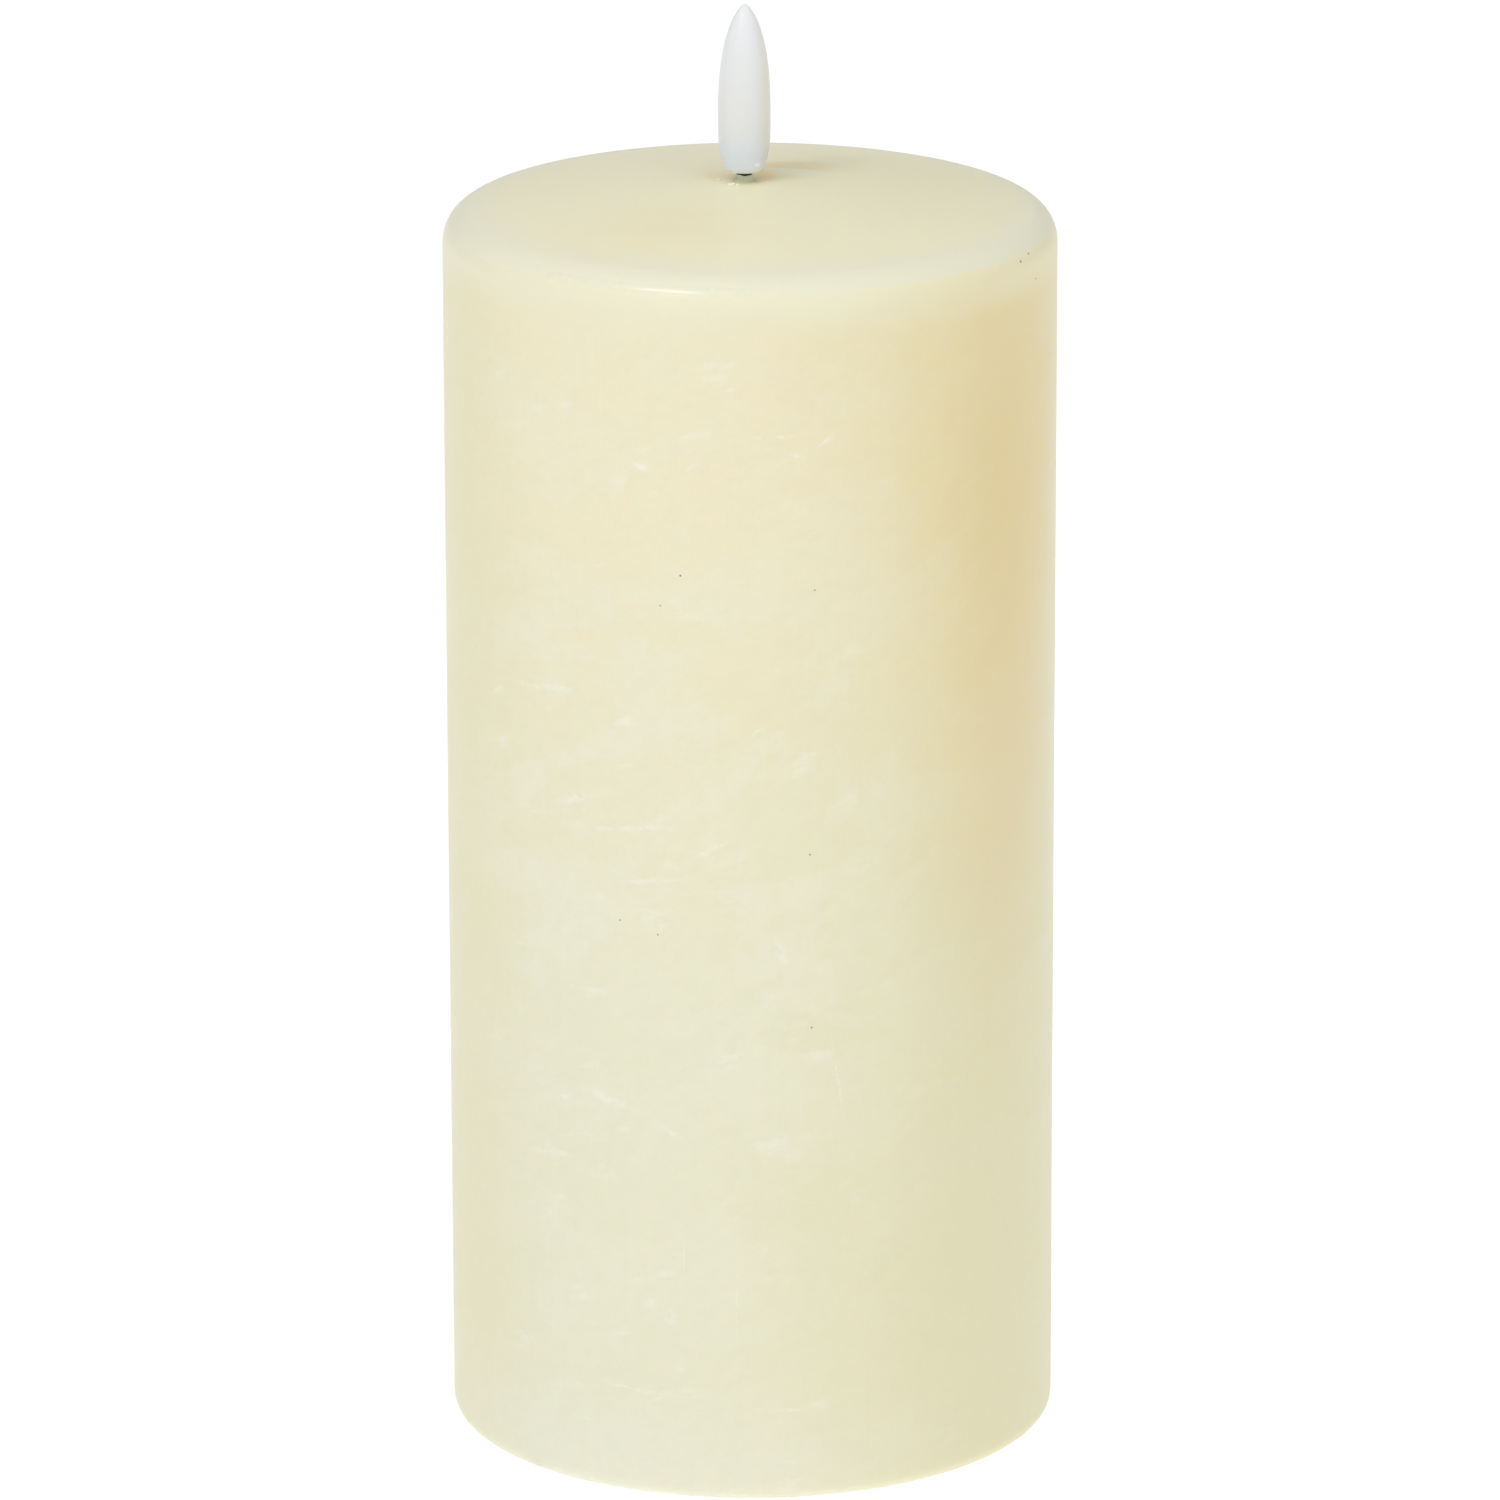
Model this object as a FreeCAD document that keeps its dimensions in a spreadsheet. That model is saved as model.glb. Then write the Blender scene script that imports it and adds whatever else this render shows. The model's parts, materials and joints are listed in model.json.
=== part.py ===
import FreeCAD, Part
import math
import os
import re

import Sketcher
from FreeCAD import Placement, Rotation, Vector

# Flameless LED pillar candle, in millimetres.
# +Z is up, the origin is the centre of the flat ring that the wax stands on, and the battery
# module is seen from below. The battery door opens about an axis along X.

SIZES = {
    # wax pillar: straight wall, small shoulder arc, then a large dome arc to the centre
    "wax_r": 37.5,
    "wax_wall_top": 150.1,
    "shoulder_r": 4.12,
    "dome_r": 181.9,
    "foot_r": 2.0,
    "module_bore_r": 33.1,
    "module_bore_top": 36.0,
    "core_bore_r": 31.5,
    "core_bore_top": 139.0,
    "core_ceiling_r": 22.0,
    "core_ceiling": 146.0,
    # wick, which stands a little off the pillar's centre
    "wick_x": -0.7,
    "wick_r": 0.94,
    "wick_bore_r": 0.65,
    "wick_low": 138.0,
    "wick_hole_r": 1.0,
    "collar_r": 6.0,
    "collar_plate": 2.0,
    "collar_tube_r": 2.2,
    "collar_gap": 0.05,
    # flame: a bullet of milky plastic with an LED inside
    "flame_low": 158.65,
    "flame_foot_r": 2.3,
    "flame_foot_up": 0.5,
    "flame_foot_bend": 0.5,
    "flame_low_r": 2.72,
    "flame_low_bend": 14.6,
    "flame_belly_low": 162.9,
    "flame_belly_r": 3.21,
    "flame_belly_top": 166.4,
    "flame_side_bend": 43.0,
    "flame_neck": 175.0,
    "flame_neck_r": 2.34,
    "flame_neck_bend": 12.0,
    "flame_point_r": 0.5,
    "flame_tip_bend": 0.62,
    "flame_tip": 179.4,
    "flame_wall": 0.7,
    "flame_mouth_r": 1.6,
    "led_r": 1.5,
    "led_low": 158.8,
    "led_wall_up": 3.8,
    "leg_r": 0.2,
    "leg_x": 0.3,
    "leg_low": 137.0,
    # module shells
    "tray_r": 32.8,
    "tray_low": 1.0,
    "floor_top": 4.0,
    "skirt": 1.4,
    "tray_top": 20.0,
    "bay_x": 27.2,
    "bay_y": 15.2,
    "bay_round": 2.5,
    "bay_top": 18.8,
    "bay_wall": 1.2,
    "cover_top": 36.0,
    "cover_wall": 1.2,
    "cover_hole_r": 3.0,
    "post_x": 16.0,
    "post_y": 23.0,
    "tower_r": 3.5,
    "tower_well_r": 2.4,
    "tower_seat": 14.0,
    "tower_hole_r": 1.3,
    "post_r": 2.8,
    "cover_screw_r": 1.1,
    "cover_screw_top": 26.5,
    "post_bore_top": 27.0,
    "cover_head_r": 2.1,
    "cover_head_up": 1.6,
    # battery door, its hinge and the recess it closes
    "door_x": 27.7,
    "door_back": -16.1,
    "door_front": 15.6,
    "door_round": 4.0,
    "door_low": 1.2,
    "door_top": 2.4,
    "door_gap": 0.35,
    "recess_top": 2.45,
    "hinge_y": -17.6,
    "hinge_z": 1.9,
    "hinge_r": 1.4,
    "hinge_bore_r": 0.65,
    "hinge_pin_r": 0.6,
    "hinge_pin_x": 20.0,
    "knuckle_x": 14.0,
    "knuckle_half": 4.0,
    "knuckle_gap": 0.3,
    "pocket_y": 1.6,
    "pocket_top": 3.5,
    "tongue_x": 5.0,
    "tongue_back": 13.9,
    "tongue_front": 14.7,
    "tongue_top": 6.6,
    "rib_x": 22.0,
    "rib_half": 0.6,
    "rib_top": 4.4,
    "scoop_r": 6.0,
    "scoop_top": 2.0,
    # two AA cells and their contacts
    "cell_r": 7.2,
    "cell_long": 50.5,
    "cell_y": 7.6,
    "cell_z": 11.0,
    "cell_edge": 0.6,
    "nub_r": 2.75,
    "nub_up": 1.1,
    "plate": 0.4,
    "plate_half": 5.0,
    "plate_low": 5.0,
    "plate_top": 17.6,
    "dimple_r": 1.8,
    "dimple_foot_r": 2.3,
    "dimple_up": 0.5,
    "coil_wire_r": 0.25,
    "coil_r": 4.2,
    "coil_long": 1.9,
    "coil_pitch": 0.8,
    "coil_cone": 30.0,
    "coil_play": 0.02,
    "tab_half": 1.0,
    "tab_top": 23.0,
    "tab_slot": 1.3,
    "tab_room": 0.5,
    "link_half": 2.0,
    # slide switch: off, on, timer
    "switch_y": 25.0,
    "switch_pocket_x": 5.6,
    "switch_pocket_y": 3.2,
    "switch_pocket_top": 2.6,
    "slot_x": 3.9,
    "slot_y": 1.35,
    "frame_x": 5.8,
    "frame_y": 2.9,
    "frame_top": 9.2,
    "sheet_steel": 0.4,
    "steel_round": 1.0,
    "ear_x": 9.8,
    "ear_hole_x": 7.8,
    "ear_hole_r": 0.9,
    "insulator_x": 5.3,
    "insulator_y": 2.4,
    "slider_room_x": 5.1,
    "slider_room_y": 1.8,
    "slider_room_top": 7.0,
    "slider_x": 3.0,
    "slider_y": 1.6,
    "slider_top": 6.6,
    "slider_play": 0.1,
    "knob_x": 1.5,
    "knob_y": 1.1,
    "knob_low": 1.2,
    "knob_rest": -2.0,
    "knob_round": 0.3,
    "groove_pitch": 0.9,
    "groove_half": 0.15,
    "groove_deep": 0.3,
    "terminal_half": 0.25,
    "terminal_pitch": 2.54,
    "terminal_top": 12.5,
    "ear_screw_r": 0.75,
    "ear_screw_low": 1.9,
    "ear_head_r": 1.5,
    "ear_head_up": 1.0,
    # circuit board and what is on it
    "board_x": 20.0,
    "board_y": 12.0,
    "board_low": 22.0,
    "board_top": 23.6,
    "board_screw_x": 17.0,
    "board_screw_r": 0.9,
    "board_hole_r": 1.05,
    "board_round": 1.5,
    "board_screw_low": 19.4,
    "board_head_r": 1.8,
    "board_head_up": 1.2,
    "standoff_r": 2.4,
    "chip_x": 7.0,
    "chip_y": -5.0,
    "chip_half_x": 2.5,
    "chip_half_y": 2.0,
    "chip_up": 1.5,
    "chip_leg_half": 0.2,
    "chip_leg_out": 1.0,
    "chip_leg_pitch": 1.27,
    "can_x": -6.0,
    "can_y": -6.0,
    "can_r": 1.0,
    "can_long": 6.0,
    "can_round": 0.3,
    "capacitor_x": -9.5,
    "capacitor_y": 2.5,
    "capacitor_r": 2.5,
    "capacitor_up": 8.0,
    "capacitor_groove": 0.25,
    "capacitor_crimp": 1.3,
    "capacitor_round": 0.4,
    "resistor_x": 6.0,
    "resistor_y": 4.0,
    "resistor_pitch": 3.2,
    "resistor_half_x": 1.0,
    "resistor_half_y": 0.6,
    "resistor_up": 0.5,
    # insulated leads
    "lead_r": 0.4,
    # how far a cut runs on past the face that it opens
    "spare": 1.0,
}

GROUND = "0"

doc = FreeCAD.newDocument("flameless_candle")
sheet = doc.addObject("Spreadsheet::Sheet", "sizes")
for row, (alias, size) in enumerate(SIZES.items(), 1):
    sheet.set(f"A{row}", alias)
    sheet.set(f"B{row}", str(size))
    sheet.setAlias(f"B{row}", alias)
doc.recompute()

subparts = []


def linked(text):
    """An expression with each size's name written out in full, such as sizes.wax_r."""

    def full(word):
        return "sizes." + word.group() if word.group() in SIZES else word.group()

    return re.sub(r"[a-z]\w*", full, text)


def number(text):
    return float(sheet.evalExpression(linked(text)))


def bind(item, **properties):
    for path, text in properties.items():
        item.setExpression(path.replace("__", "."), linked(text))


def place(item, x=GROUND, y=GROUND, z=GROUND, turn=None):
    """Puts an object at a place given in sizes, after an optional fixed turn."""
    if turn:
        item.Placement = Placement(Vector(), turn)
    bind(item, Placement__Base__x=x, Placement__Base__y=y, Placement__Base__z=z)
    return item


def keep(item, label):
    item.Label = label
    subparts.append(item)
    return item


# Sketch outlines ---------------------------------------------------------------------------


def pin_point(sketch, geometry, end, x, y):
    """Ties one end of a sketch line or arc to a place given in sizes."""
    for kind, text in (("DistanceX", x), ("DistanceY", y)):
        index = sketch.addConstraint(Sketcher.Constraint(kind, -1, 1, geometry, end, number(text)))
        sketch.setExpression(f"Constraints[{index}]", linked(text))


def arc_between(first, last, radius, left):
    """The short arc between two points, with its centre on the left or right of the way along."""
    chord = last - first
    middle = (first + last) * 0.5
    side = Vector(-chord.y, chord.x, 0).normalize() * (1 if left else -1)
    centre = middle + side * math.sqrt(radius**2 - (chord.Length / 2) ** 2)
    begin, finish = (first, last) if left else (last, first)
    angles = [math.atan2(p.y - centre.y, p.x - centre.x) for p in (begin, finish)]
    return Part.ArcOfCircle(Part.Circle(centre, Vector(0, 0, 1), radius), *angles)


def outline(*corners):
    """A closed outline. A corner is (x, y), or (x, y, radius, left) when an arc leads on from it."""

    def draw(sketch):
        points = [Vector(number(c[0]), number(c[1]), 0) for c in corners]
        ends = []
        for i, corner in enumerate(corners):
            first, last = points[i], points[(i + 1) % len(points)]
            if len(corner) == 2:
                index = sketch.addGeometry(Part.LineSegment(first, last))
                ends.append((index, 1, 2))
                continue
            index = sketch.addGeometry(arc_between(first, last, number(corner[2]), corner[3]))
            ends.append((index, 1, 2) if corner[3] else (index, 2, 1))
            radius = sketch.addConstraint(Sketcher.Constraint("Radius", index, number(corner[2])))
            sketch.setExpression(f"Constraints[{radius}]", linked(corner[2]))
        for i, (index, start, _) in enumerate(ends):
            before, _, finish = ends[i - 1]
            sketch.addConstraint(Sketcher.Constraint("Coincident", before, finish, index, start))
            pin_point(sketch, index, start, corners[i][0], corners[i][1])

    return draw


def rectangle(x_low, x_high, y_low, y_high):
    return outline((x_low, y_low), (x_high, y_low), (x_high, y_high), (x_low, y_high))


def rounded(x_low, x_high, y_low, y_high, radius):
    """A rectangle with round corners, drawn anticlockwise from its lower left."""
    left, right = f"{x_low} + {radius}", f"{x_high} - {radius}"
    low, high = f"{y_low} + {radius}", f"{y_high} - {radius}"
    return outline(
        (left, y_low),
        (right, y_low, radius, True),
        (x_high, low),
        (x_high, high, radius, True),
        (right, y_high),
        (left, y_high, radius, True),
        (x_low, high),
        (x_low, low, radius, True),
    )


def disc(radius, x=GROUND, y=GROUND):
    def draw(sketch):
        middle = Vector(number(x), number(y), 0)
        index = sketch.addGeometry(Part.Circle(middle, Vector(0, 0, 1), number(radius)))
        size = sketch.addConstraint(Sketcher.Constraint("Radius", index, number(radius)))
        sketch.setExpression(f"Constraints[{size}]", linked(radius))
        pin_point(sketch, index, 3, x, y)

    return draw


# Bodies ------------------------------------------------------------------------------------


def new_body(label):
    return keep(doc.addObject("PartDesign::Body", label), label)


def new_sketch(body, role, shapes, offset=GROUND):
    sketch = body.newObject("Sketcher::SketchObject", body.Label + "_outline")
    plane = next(f for f in body.Origin.OriginFeatures if f.Role == role)
    sketch.AttachmentSupport = (plane, [""])
    sketch.MapMode = "FlatFace"
    bind(sketch, AttachmentOffset__Base__z=offset)
    for draw in shapes:
        draw(sketch)
    return sketch


def pad(body, low, high, *shapes, role="XY_Plane"):
    """Adds material between two offsets along the plane's normal."""
    feature = body.newObject("PartDesign::Pad", body.Label + "_pad")
    feature.Profile = new_sketch(body, role, shapes, low)
    bind(feature, Length=f"{high} - ({low})")
    doc.recompute()
    return feature


def pocket(body, low, high, *shapes, role="XY_Plane"):
    """Removes material between two offsets along the plane's normal."""
    before = body.Shape.Volume
    feature = body.newObject("PartDesign::Pocket", body.Label + "_pocket")
    feature.Profile = new_sketch(body, role, shapes, low)
    feature.Reversed = True
    bind(feature, Length=f"{high} - ({low})")
    doc.recompute()
    if body.Shape.Volume > before - 1e-4:
        raise RuntimeError(f"a pocket of {body.Label} cuts nothing")
    return feature


def revolve(body, *shapes, cut=False):
    """Turns an outline of (radius, height) points round the body's Z axis."""
    before = body.Shape.Volume if cut else 0
    kind = "Groove" if cut else "Revolution"
    feature = body.newObject("PartDesign::" + kind, body.Label + "_turned")
    sketch = new_sketch(body, "XZ_Plane", shapes)
    feature.Profile = sketch
    feature.ReferenceAxis = (sketch, ["V_Axis"])
    feature.Angle = 360
    doc.recompute()
    if cut and body.Shape.Volume > before - 1e-4:
        raise RuntimeError(f"a groove of {body.Label} cuts nothing")
    return feature


# Primitives --------------------------------------------------------------------------------


def box(x_low, x_high, y_low, y_high, z_low, z_high):
    item = doc.addObject("Part::Box", "block")
    bind(item, Length=f"{x_high} - ({x_low})", Width=f"{y_high} - ({y_low})", Height=f"{z_high} - ({z_low})")
    return place(item, x_low, y_low, z_low)


def cylinder(radius, low, high, x=GROUND, y=GROUND):
    item = doc.addObject("Part::Cylinder", "round")
    bind(item, Radius=radius, Height=f"{high} - ({low})")
    return place(item, x, y, low)


def fuse(*items):
    joined = doc.addObject("Part::MultiFuse", "joined")
    joined.Shapes = list(items)
    joined.Refine = True
    return joined


def cut(base, *tools):
    item = doc.addObject("Part::Cut", "trimmed")
    item.Base = base
    item.Tool = tools[0] if len(tools) == 1 else fuse(*tools)
    return item


def group(label, items):
    """Identical separate solids kept as one sub-part."""
    item = doc.addObject("Part::Compound", label)
    item.Links = items
    return keep(item, label)


def in_order(first, last, upright):
    return (first, last) if upright else (last, first)


def screw(radius, tip, seat, head_radius, head_top, x, y):
    """A cylinder-head screw with a cross recess; head_top is above seat, or below it when it points up."""
    upright = number(head_top) > number(seat)
    shank = cylinder(radius, *in_order(tip, seat, upright), x, y)
    head = cylinder(head_radius, *in_order(seat, head_top, upright), x, y)
    half, arm = f"{head_radius} / 8", f"{head_radius} * 0.65"
    low, high = in_order(f"(({head_top}) + ({seat})) / 2", head_top, upright)
    slots = [
        box(f"{x} - {arm}", f"{x} + {arm}", f"{y} - {half}", f"{y} + {half}", low, high),
        box(f"{x} - {half}", f"{x} + {half}", f"{y} - {arm}", f"{y} + {arm}", low, high),
    ]
    return cut(fuse(shank, head), *slots)


# Wax pillar --------------------------------------------------------------------------------


def wax_body():
    body = new_body("wax_body")
    shoulder_middle = "wax_r - shoulder_r"
    reach = "dome_r - shoulder_r"
    dome_centre = f"wax_wall_top - sqrt(({reach}) * ({reach}) - ({shoulder_middle}) * ({shoulder_middle}))"
    dome_top = f"{dome_centre} + dome_r"
    share = f"(dome_r / ({reach}))"
    bend_r = f"({shoulder_middle}) * {share}"
    bend_z = f"{dome_centre} + (wax_wall_top - ({dome_centre})) * {share}"
    revolve(
        body,
        outline(
            ("module_bore_r", GROUND),
            ("wax_r - foot_r", GROUND, "foot_r", True),
            ("wax_r", "foot_r"),
            ("wax_r", "wax_wall_top", "shoulder_r", True),
            (bend_r, bend_z, "dome_r", True),
            (GROUND, dome_top),
            (GROUND, "core_ceiling"),
            ("core_ceiling_r", "core_ceiling"),
            ("core_bore_r", "core_bore_top"),
            ("core_bore_r", "module_bore_top"),
            ("module_bore_r", "module_bore_top"),
        ),
    )
    pocket(body, "core_ceiling - spare", f"{dome_top} + spare", disc("wick_hole_r", "wick_x"))


def wick_collar():
    body = new_body("wick_collar")
    bore = "wick_r + collar_gap"
    under = "core_ceiling - collar_plate"
    revolve(
        body,
        outline(
            (bore, "wick_low"),
            ("collar_tube_r", "wick_low"),
            ("collar_tube_r", under),
            ("collar_r", under),
            ("collar_r", "core_ceiling"),
            (bore, "core_ceiling"),
        ),
    )
    place(body, "wick_x")


def wick_sleeve():
    body = new_body("wick_sleeve")
    pad(body, "wick_low", "led_low", disc("wick_r"), disc("wick_bore_r"))
    place(body, "wick_x")


# Flame -------------------------------------------------------------------------------------


def flame_shell():
    body = new_body("flame_shell")
    wall = "flame_wall"
    ball = "flame_tip_bend"
    point = f"flame_tip - {ball} + sqrt({ball} * {ball} - flame_point_r * flame_point_r)"
    revolve(
        body,
        outline(
            ("flame_mouth_r", "flame_low"),
            ("flame_foot_r", "flame_low", "flame_foot_bend", True),
            ("flame_low_r", "flame_low + flame_foot_up", "flame_low_bend", True),
            ("flame_belly_r", "flame_belly_low"),
            ("flame_belly_r", "flame_belly_top", "flame_side_bend", True),
            ("flame_neck_r", "flame_neck", "flame_neck_bend", True),
            ("flame_point_r", point, ball, True),
            (GROUND, "flame_tip"),
            (GROUND, "flame_tip - 2.5 * flame_wall"),
            (f"flame_neck_r - {wall}", "flame_neck - flame_wall"),
            (f"flame_belly_r - {wall}", "flame_belly_top"),
            (f"flame_belly_r - {wall}", "flame_belly_low"),
            ("flame_mouth_r", "flame_low + flame_foot_up + flame_wall"),
        ),
    )
    place(body, "wick_x")


def led_lens():
    body = new_body("led_lens")
    dome_low = "led_low + led_wall_up"
    revolve(
        body,
        outline(
            (GROUND, "led_low"),
            ("led_r", "led_low"),
            ("led_r", dome_low, "led_r", True),
            (GROUND, f"{dome_low} + led_r"),
        ),
    )
    place(body, "wick_x")


def led_leads():
    legs = [cylinder("leg_r", "leg_low", "led_low", f"wick_x + ({side}) * leg_x") for side in (-1, 1)]
    group("led_leads", legs)


# Module shells -----------------------------------------------------------------------------

CORNERS = [(a, b) for a in (-1, 1) for b in (-1, 1)]


def post_places():
    return [(f"({a}) * post_x", f"({b}) * post_y") for a, b in CORNERS]


def base_tray():
    body = new_body("base_tray")
    pad(body, "tray_low", "floor_top", disc("tray_r"))
    pad(body, "floor_top", "tray_top", disc("tray_r"), disc("tray_r - skirt"))
    bay = ("bay_x + bay_wall", "bay_y + bay_wall")
    pad(body, "floor_top", "tray_top", rounded(f"-({bay[0]})", bay[0], f"-({bay[1]})", bay[1], "bay_round"))
    for x, y in post_places():
        pad(body, "floor_top", "tray_top", disc("tower_r", x, y))
    for side in (-1, 1):
        pad(body, "tray_top", "board_low", disc("standoff_r", f"({side}) * board_screw_x"))
    pocket(body, GROUND, "bay_top", rounded("-bay_x", "bay_x", "-bay_y", "bay_y", "bay_round"))
    side, back, front = "door_x + door_gap", "door_back - door_gap", "door_front + door_gap"
    pocket(body, GROUND, "recess_top", rounded(f"-({side})", side, back, front, "door_round"))
    pocket(body, GROUND, "scoop_top", disc("scoop_r", GROUND, "door_front"))
    for end in (-1, 1):
        middle, half = f"({end}) * knuckle_x", "knuckle_half + knuckle_gap"
        hollow = rectangle(f"{middle} - ({half})", f"{middle} + {half}", "hinge_y - pocket_y", "door_back")
        pocket(body, GROUND, "pocket_top", hollow)
    pocket(body, "-hinge_pin_x", "hinge_pin_x", disc("hinge_pin_r", "hinge_y", "hinge_z"), role="YZ_Plane")
    for x, y in post_places():
        pocket(body, GROUND, "tower_seat", disc("tower_well_r", x, y))
        pocket(body, "tower_seat - spare", "tray_top + spare", disc("tower_hole_r", x, y))
    switch_openings(body)
    contact_openings(body)
    for side in (-1, 1):
        hole = disc("board_screw_r", f"({side}) * board_screw_x")
        pocket(body, "board_screw_low", "board_low + spare", hole)


def knob_slot():
    return rectangle("-slot_x", "slot_x", "switch_y - slot_y", "switch_y + slot_y")


def switch_openings(body):
    """The finger recess, the knob's slot and the two pilot holes of the slide switch."""
    x, y = "switch_pocket_x", "switch_pocket_y"
    recess = rounded(f"-{x}", x, f"switch_y - {y}", f"switch_y + {y}", "steel_round")
    pocket(body, GROUND, "switch_pocket_top", recess)
    pocket(body, GROUND, "floor_top + spare", knob_slot())
    for side in (-1, 1):
        hole = disc("ear_screw_r", f"({side}) * ear_hole_x", "switch_y")
        pocket(body, "ear_screw_low", "floor_top + spare", hole)


def contact_openings(body):
    """Slots in the bay's ceiling that the two solder tabs come up through."""
    for side in (-1, 1):
        middle = f"({side}) * cell_y"
        slot = rectangle("-bay_x", "-bay_x + tab_room", f"{middle} - tab_slot", f"{middle} + tab_slot")
        pocket(body, "bay_top - spare", "tray_top + spare", slot)


def core_cover():
    body = new_body("core_cover")
    under = "cover_top - cover_wall"
    pad(body, "tray_top", "cover_top", disc("tray_r"))
    pocket(body, "tray_top - spare", under, disc("tray_r - skirt"))
    for x, y in post_places():
        pad(body, "tray_top", "cover_top - cover_wall / 2", disc("post_r", x, y))
        pocket(body, "tray_top - spare", "post_bore_top", disc("cover_screw_r", x, y))
    pocket(body, f"{under} - spare", "cover_top + spare", disc("cover_hole_r"))


def cover_screws():
    seat = "tower_seat"
    screws = [
        screw("cover_screw_r", "cover_screw_top", seat, "cover_head_r", f"{seat} - cover_head_up", x, y)
        for x, y in post_places()
    ]
    group("cover_screws", screws)


# Battery door ------------------------------------------------------------------------------


def battery_door():
    body = new_body("battery_door")
    pad(body, "door_low", "door_top", rounded("-door_x", "door_x", "door_back", "door_front", "door_round"))
    for end in (-1, 1):
        low, high = f"({end}) * knuckle_x - knuckle_half", f"({end}) * knuckle_x + knuckle_half"
        pad(body, "door_low", "door_top", rectangle(low, high, "hinge_y", "door_back + spare"))
        pad(body, low, high, disc("hinge_r", "hinge_y", "hinge_z"), role="YZ_Plane")
    bore = disc("hinge_bore_r", "hinge_y", "hinge_z")
    pocket(body, "-hinge_pin_x", "hinge_pin_x", bore, role="YZ_Plane")
    pad(body, "door_low", "tongue_top", rectangle("-tongue_x", "tongue_x", "tongue_back", "tongue_front"))
    pad(body, "door_low", "rib_top", rectangle("-rib_x", "rib_x", "-rib_half", "rib_half"))


def door_hinge_pin():
    body = new_body("door_hinge_pin")
    pad(body, "-hinge_pin_x", "hinge_pin_x", disc("hinge_pin_r", "hinge_y", "hinge_z"), role="YZ_Plane")


# Cells and contacts ------------------------------------------------------------------------

CELL_END = "(bay_x - plate - dimple_up)"


def cell(label, side):
    """An AA cell lying along X, plus end towards +X when side is 1."""
    body = new_body(label)
    flank = "cell_long - nub_up"
    revolve(
        body,
        outline(
            (GROUND, GROUND),
            ("cell_r - cell_edge", GROUND, "cell_edge", True),
            ("cell_r", "cell_edge"),
            ("cell_r", f"{flank} - cell_edge", "cell_edge", True),
            ("cell_r - cell_edge", flank),
            ("nub_r", flank),
            ("nub_r", "cell_long"),
            (GROUND, "cell_long"),
        ),
    )
    start = f"({side}) * ({CELL_END} - cell_long)"
    place(body, start, f"({side}) * cell_y", "cell_z", Rotation(Vector(0, 1, 0), 90 * side))


def stamped_plate(end, side):
    """A contact plate on the bay's end wall. end is -1 or 1 for the wall and side for the cell's row."""
    low, high = ("bay_x - plate", "bay_x") if end > 0 else ("-bay_x", "-bay_x + plate")
    middle = f"({side}) * cell_y"
    return box(low, high, f"{middle} - plate_half", f"{middle} + plate_half", "plate_low", "plate_top")


def dimple(end, side):
    """The raised button that meets a cell's plus end."""
    item = doc.addObject("Part::Cone", "dimple")
    bind(item, Radius1="dimple_foot_r", Radius2="dimple_r", Height="dimple_up")
    turn = Rotation(Vector(0, 1, 0), -90 * end)
    return place(item, f"({end}) * (bay_x - plate)", f"({side}) * cell_y", "cell_z", turn)


def solder_tab(side):
    """The tongue that comes up through the bay's ceiling."""
    low, high = f"({side}) * cell_y - tab_half", f"({side}) * cell_y + tab_half"
    return box("-bay_x", "-bay_x + plate", low, high, "plate_low", "tab_top")


def contact_plates():
    keep(fuse(stamped_plate(-1, -1), dimple(-1, -1), solder_tab(-1)), "positive_plate")
    keep(fuse(stamped_plate(-1, 1), solder_tab(1)), "negative_plate")
    link = box("bay_x - plate", "bay_x", "-cell_y", "cell_y", "cell_z - link_half", "cell_z + link_half")
    keep(fuse(stamped_plate(1, 1), stamped_plate(1, -1), dimple(1, 1), link), "bridge_plate")


def contact_spring(label, end, side):
    """A conical wire coil from the plate to a cell's minus end."""
    spine = doc.addObject("Part::Helix", label + "_spine")
    spine.Style = 1
    spine.SegmentLength = 0.25
    bind(spine, Radius="coil_r", Height="coil_long", Pitch="coil_pitch", Angle="-coil_cone")
    wire = doc.addObject("Part::Circle", label + "_wire")
    bind(wire, Radius="coil_wire_r")
    place(wire, "coil_r", turn=Rotation(Vector(1, 0, 0), 90))
    coil = doc.addObject("Part::Sweep", label)
    coil.Sections = [wire]
    coil.Spine = spine
    coil.Solid = True
    coil.Frenet = True
    turn = Rotation(Vector(0, 1, 0), -90 * end)
    place(coil, f"({end}) * (bay_x - plate - coil_wire_r - coil_play)", f"({side}) * cell_y", "cell_z", turn)
    keep(coil, label)


# Slide switch ------------------------------------------------------------------------------


def switch_body():
    body = new_body("switch_body")
    low = "floor_top + sheet_steel"
    x, y = "insulator_x", "insulator_y"
    pad(body, low, "frame_top - sheet_steel", rectangle(f"-{x}", x, f"switch_y - {y}", f"switch_y + {y}"))
    x, y = "slider_room_x", "slider_room_y"
    room = rectangle(f"-{x}", x, f"switch_y - {y}", f"switch_y + {y}")
    pocket(body, f"{low} - spare", "slider_room_top", room)


def switch_frame():
    """A strip of steel with two ears, folded up along both long sides of the switch."""
    body = new_body("switch_frame")
    top = "floor_top + sheet_steel"
    ears = rounded("-ear_x", "ear_x", "switch_y - frame_y", "switch_y + frame_y", "steel_round")
    pad(body, "floor_top", top, ears)
    for side in (-1, 1):
        edges = [f"switch_y + ({side}) * frame_y", f"switch_y + ({side}) * (frame_y - sheet_steel)"]
        low, high = edges if side < 0 else edges[::-1]
        pad(body, "floor_top", "frame_top", rectangle("-frame_x", "frame_x", low, high))
    pocket(body, "floor_top - spare", top, knob_slot())
    for side in (-1, 1):
        pocket(body, "floor_top - spare", top, disc("ear_hole_r", f"({side}) * ear_hole_x", "switch_y"))


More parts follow.
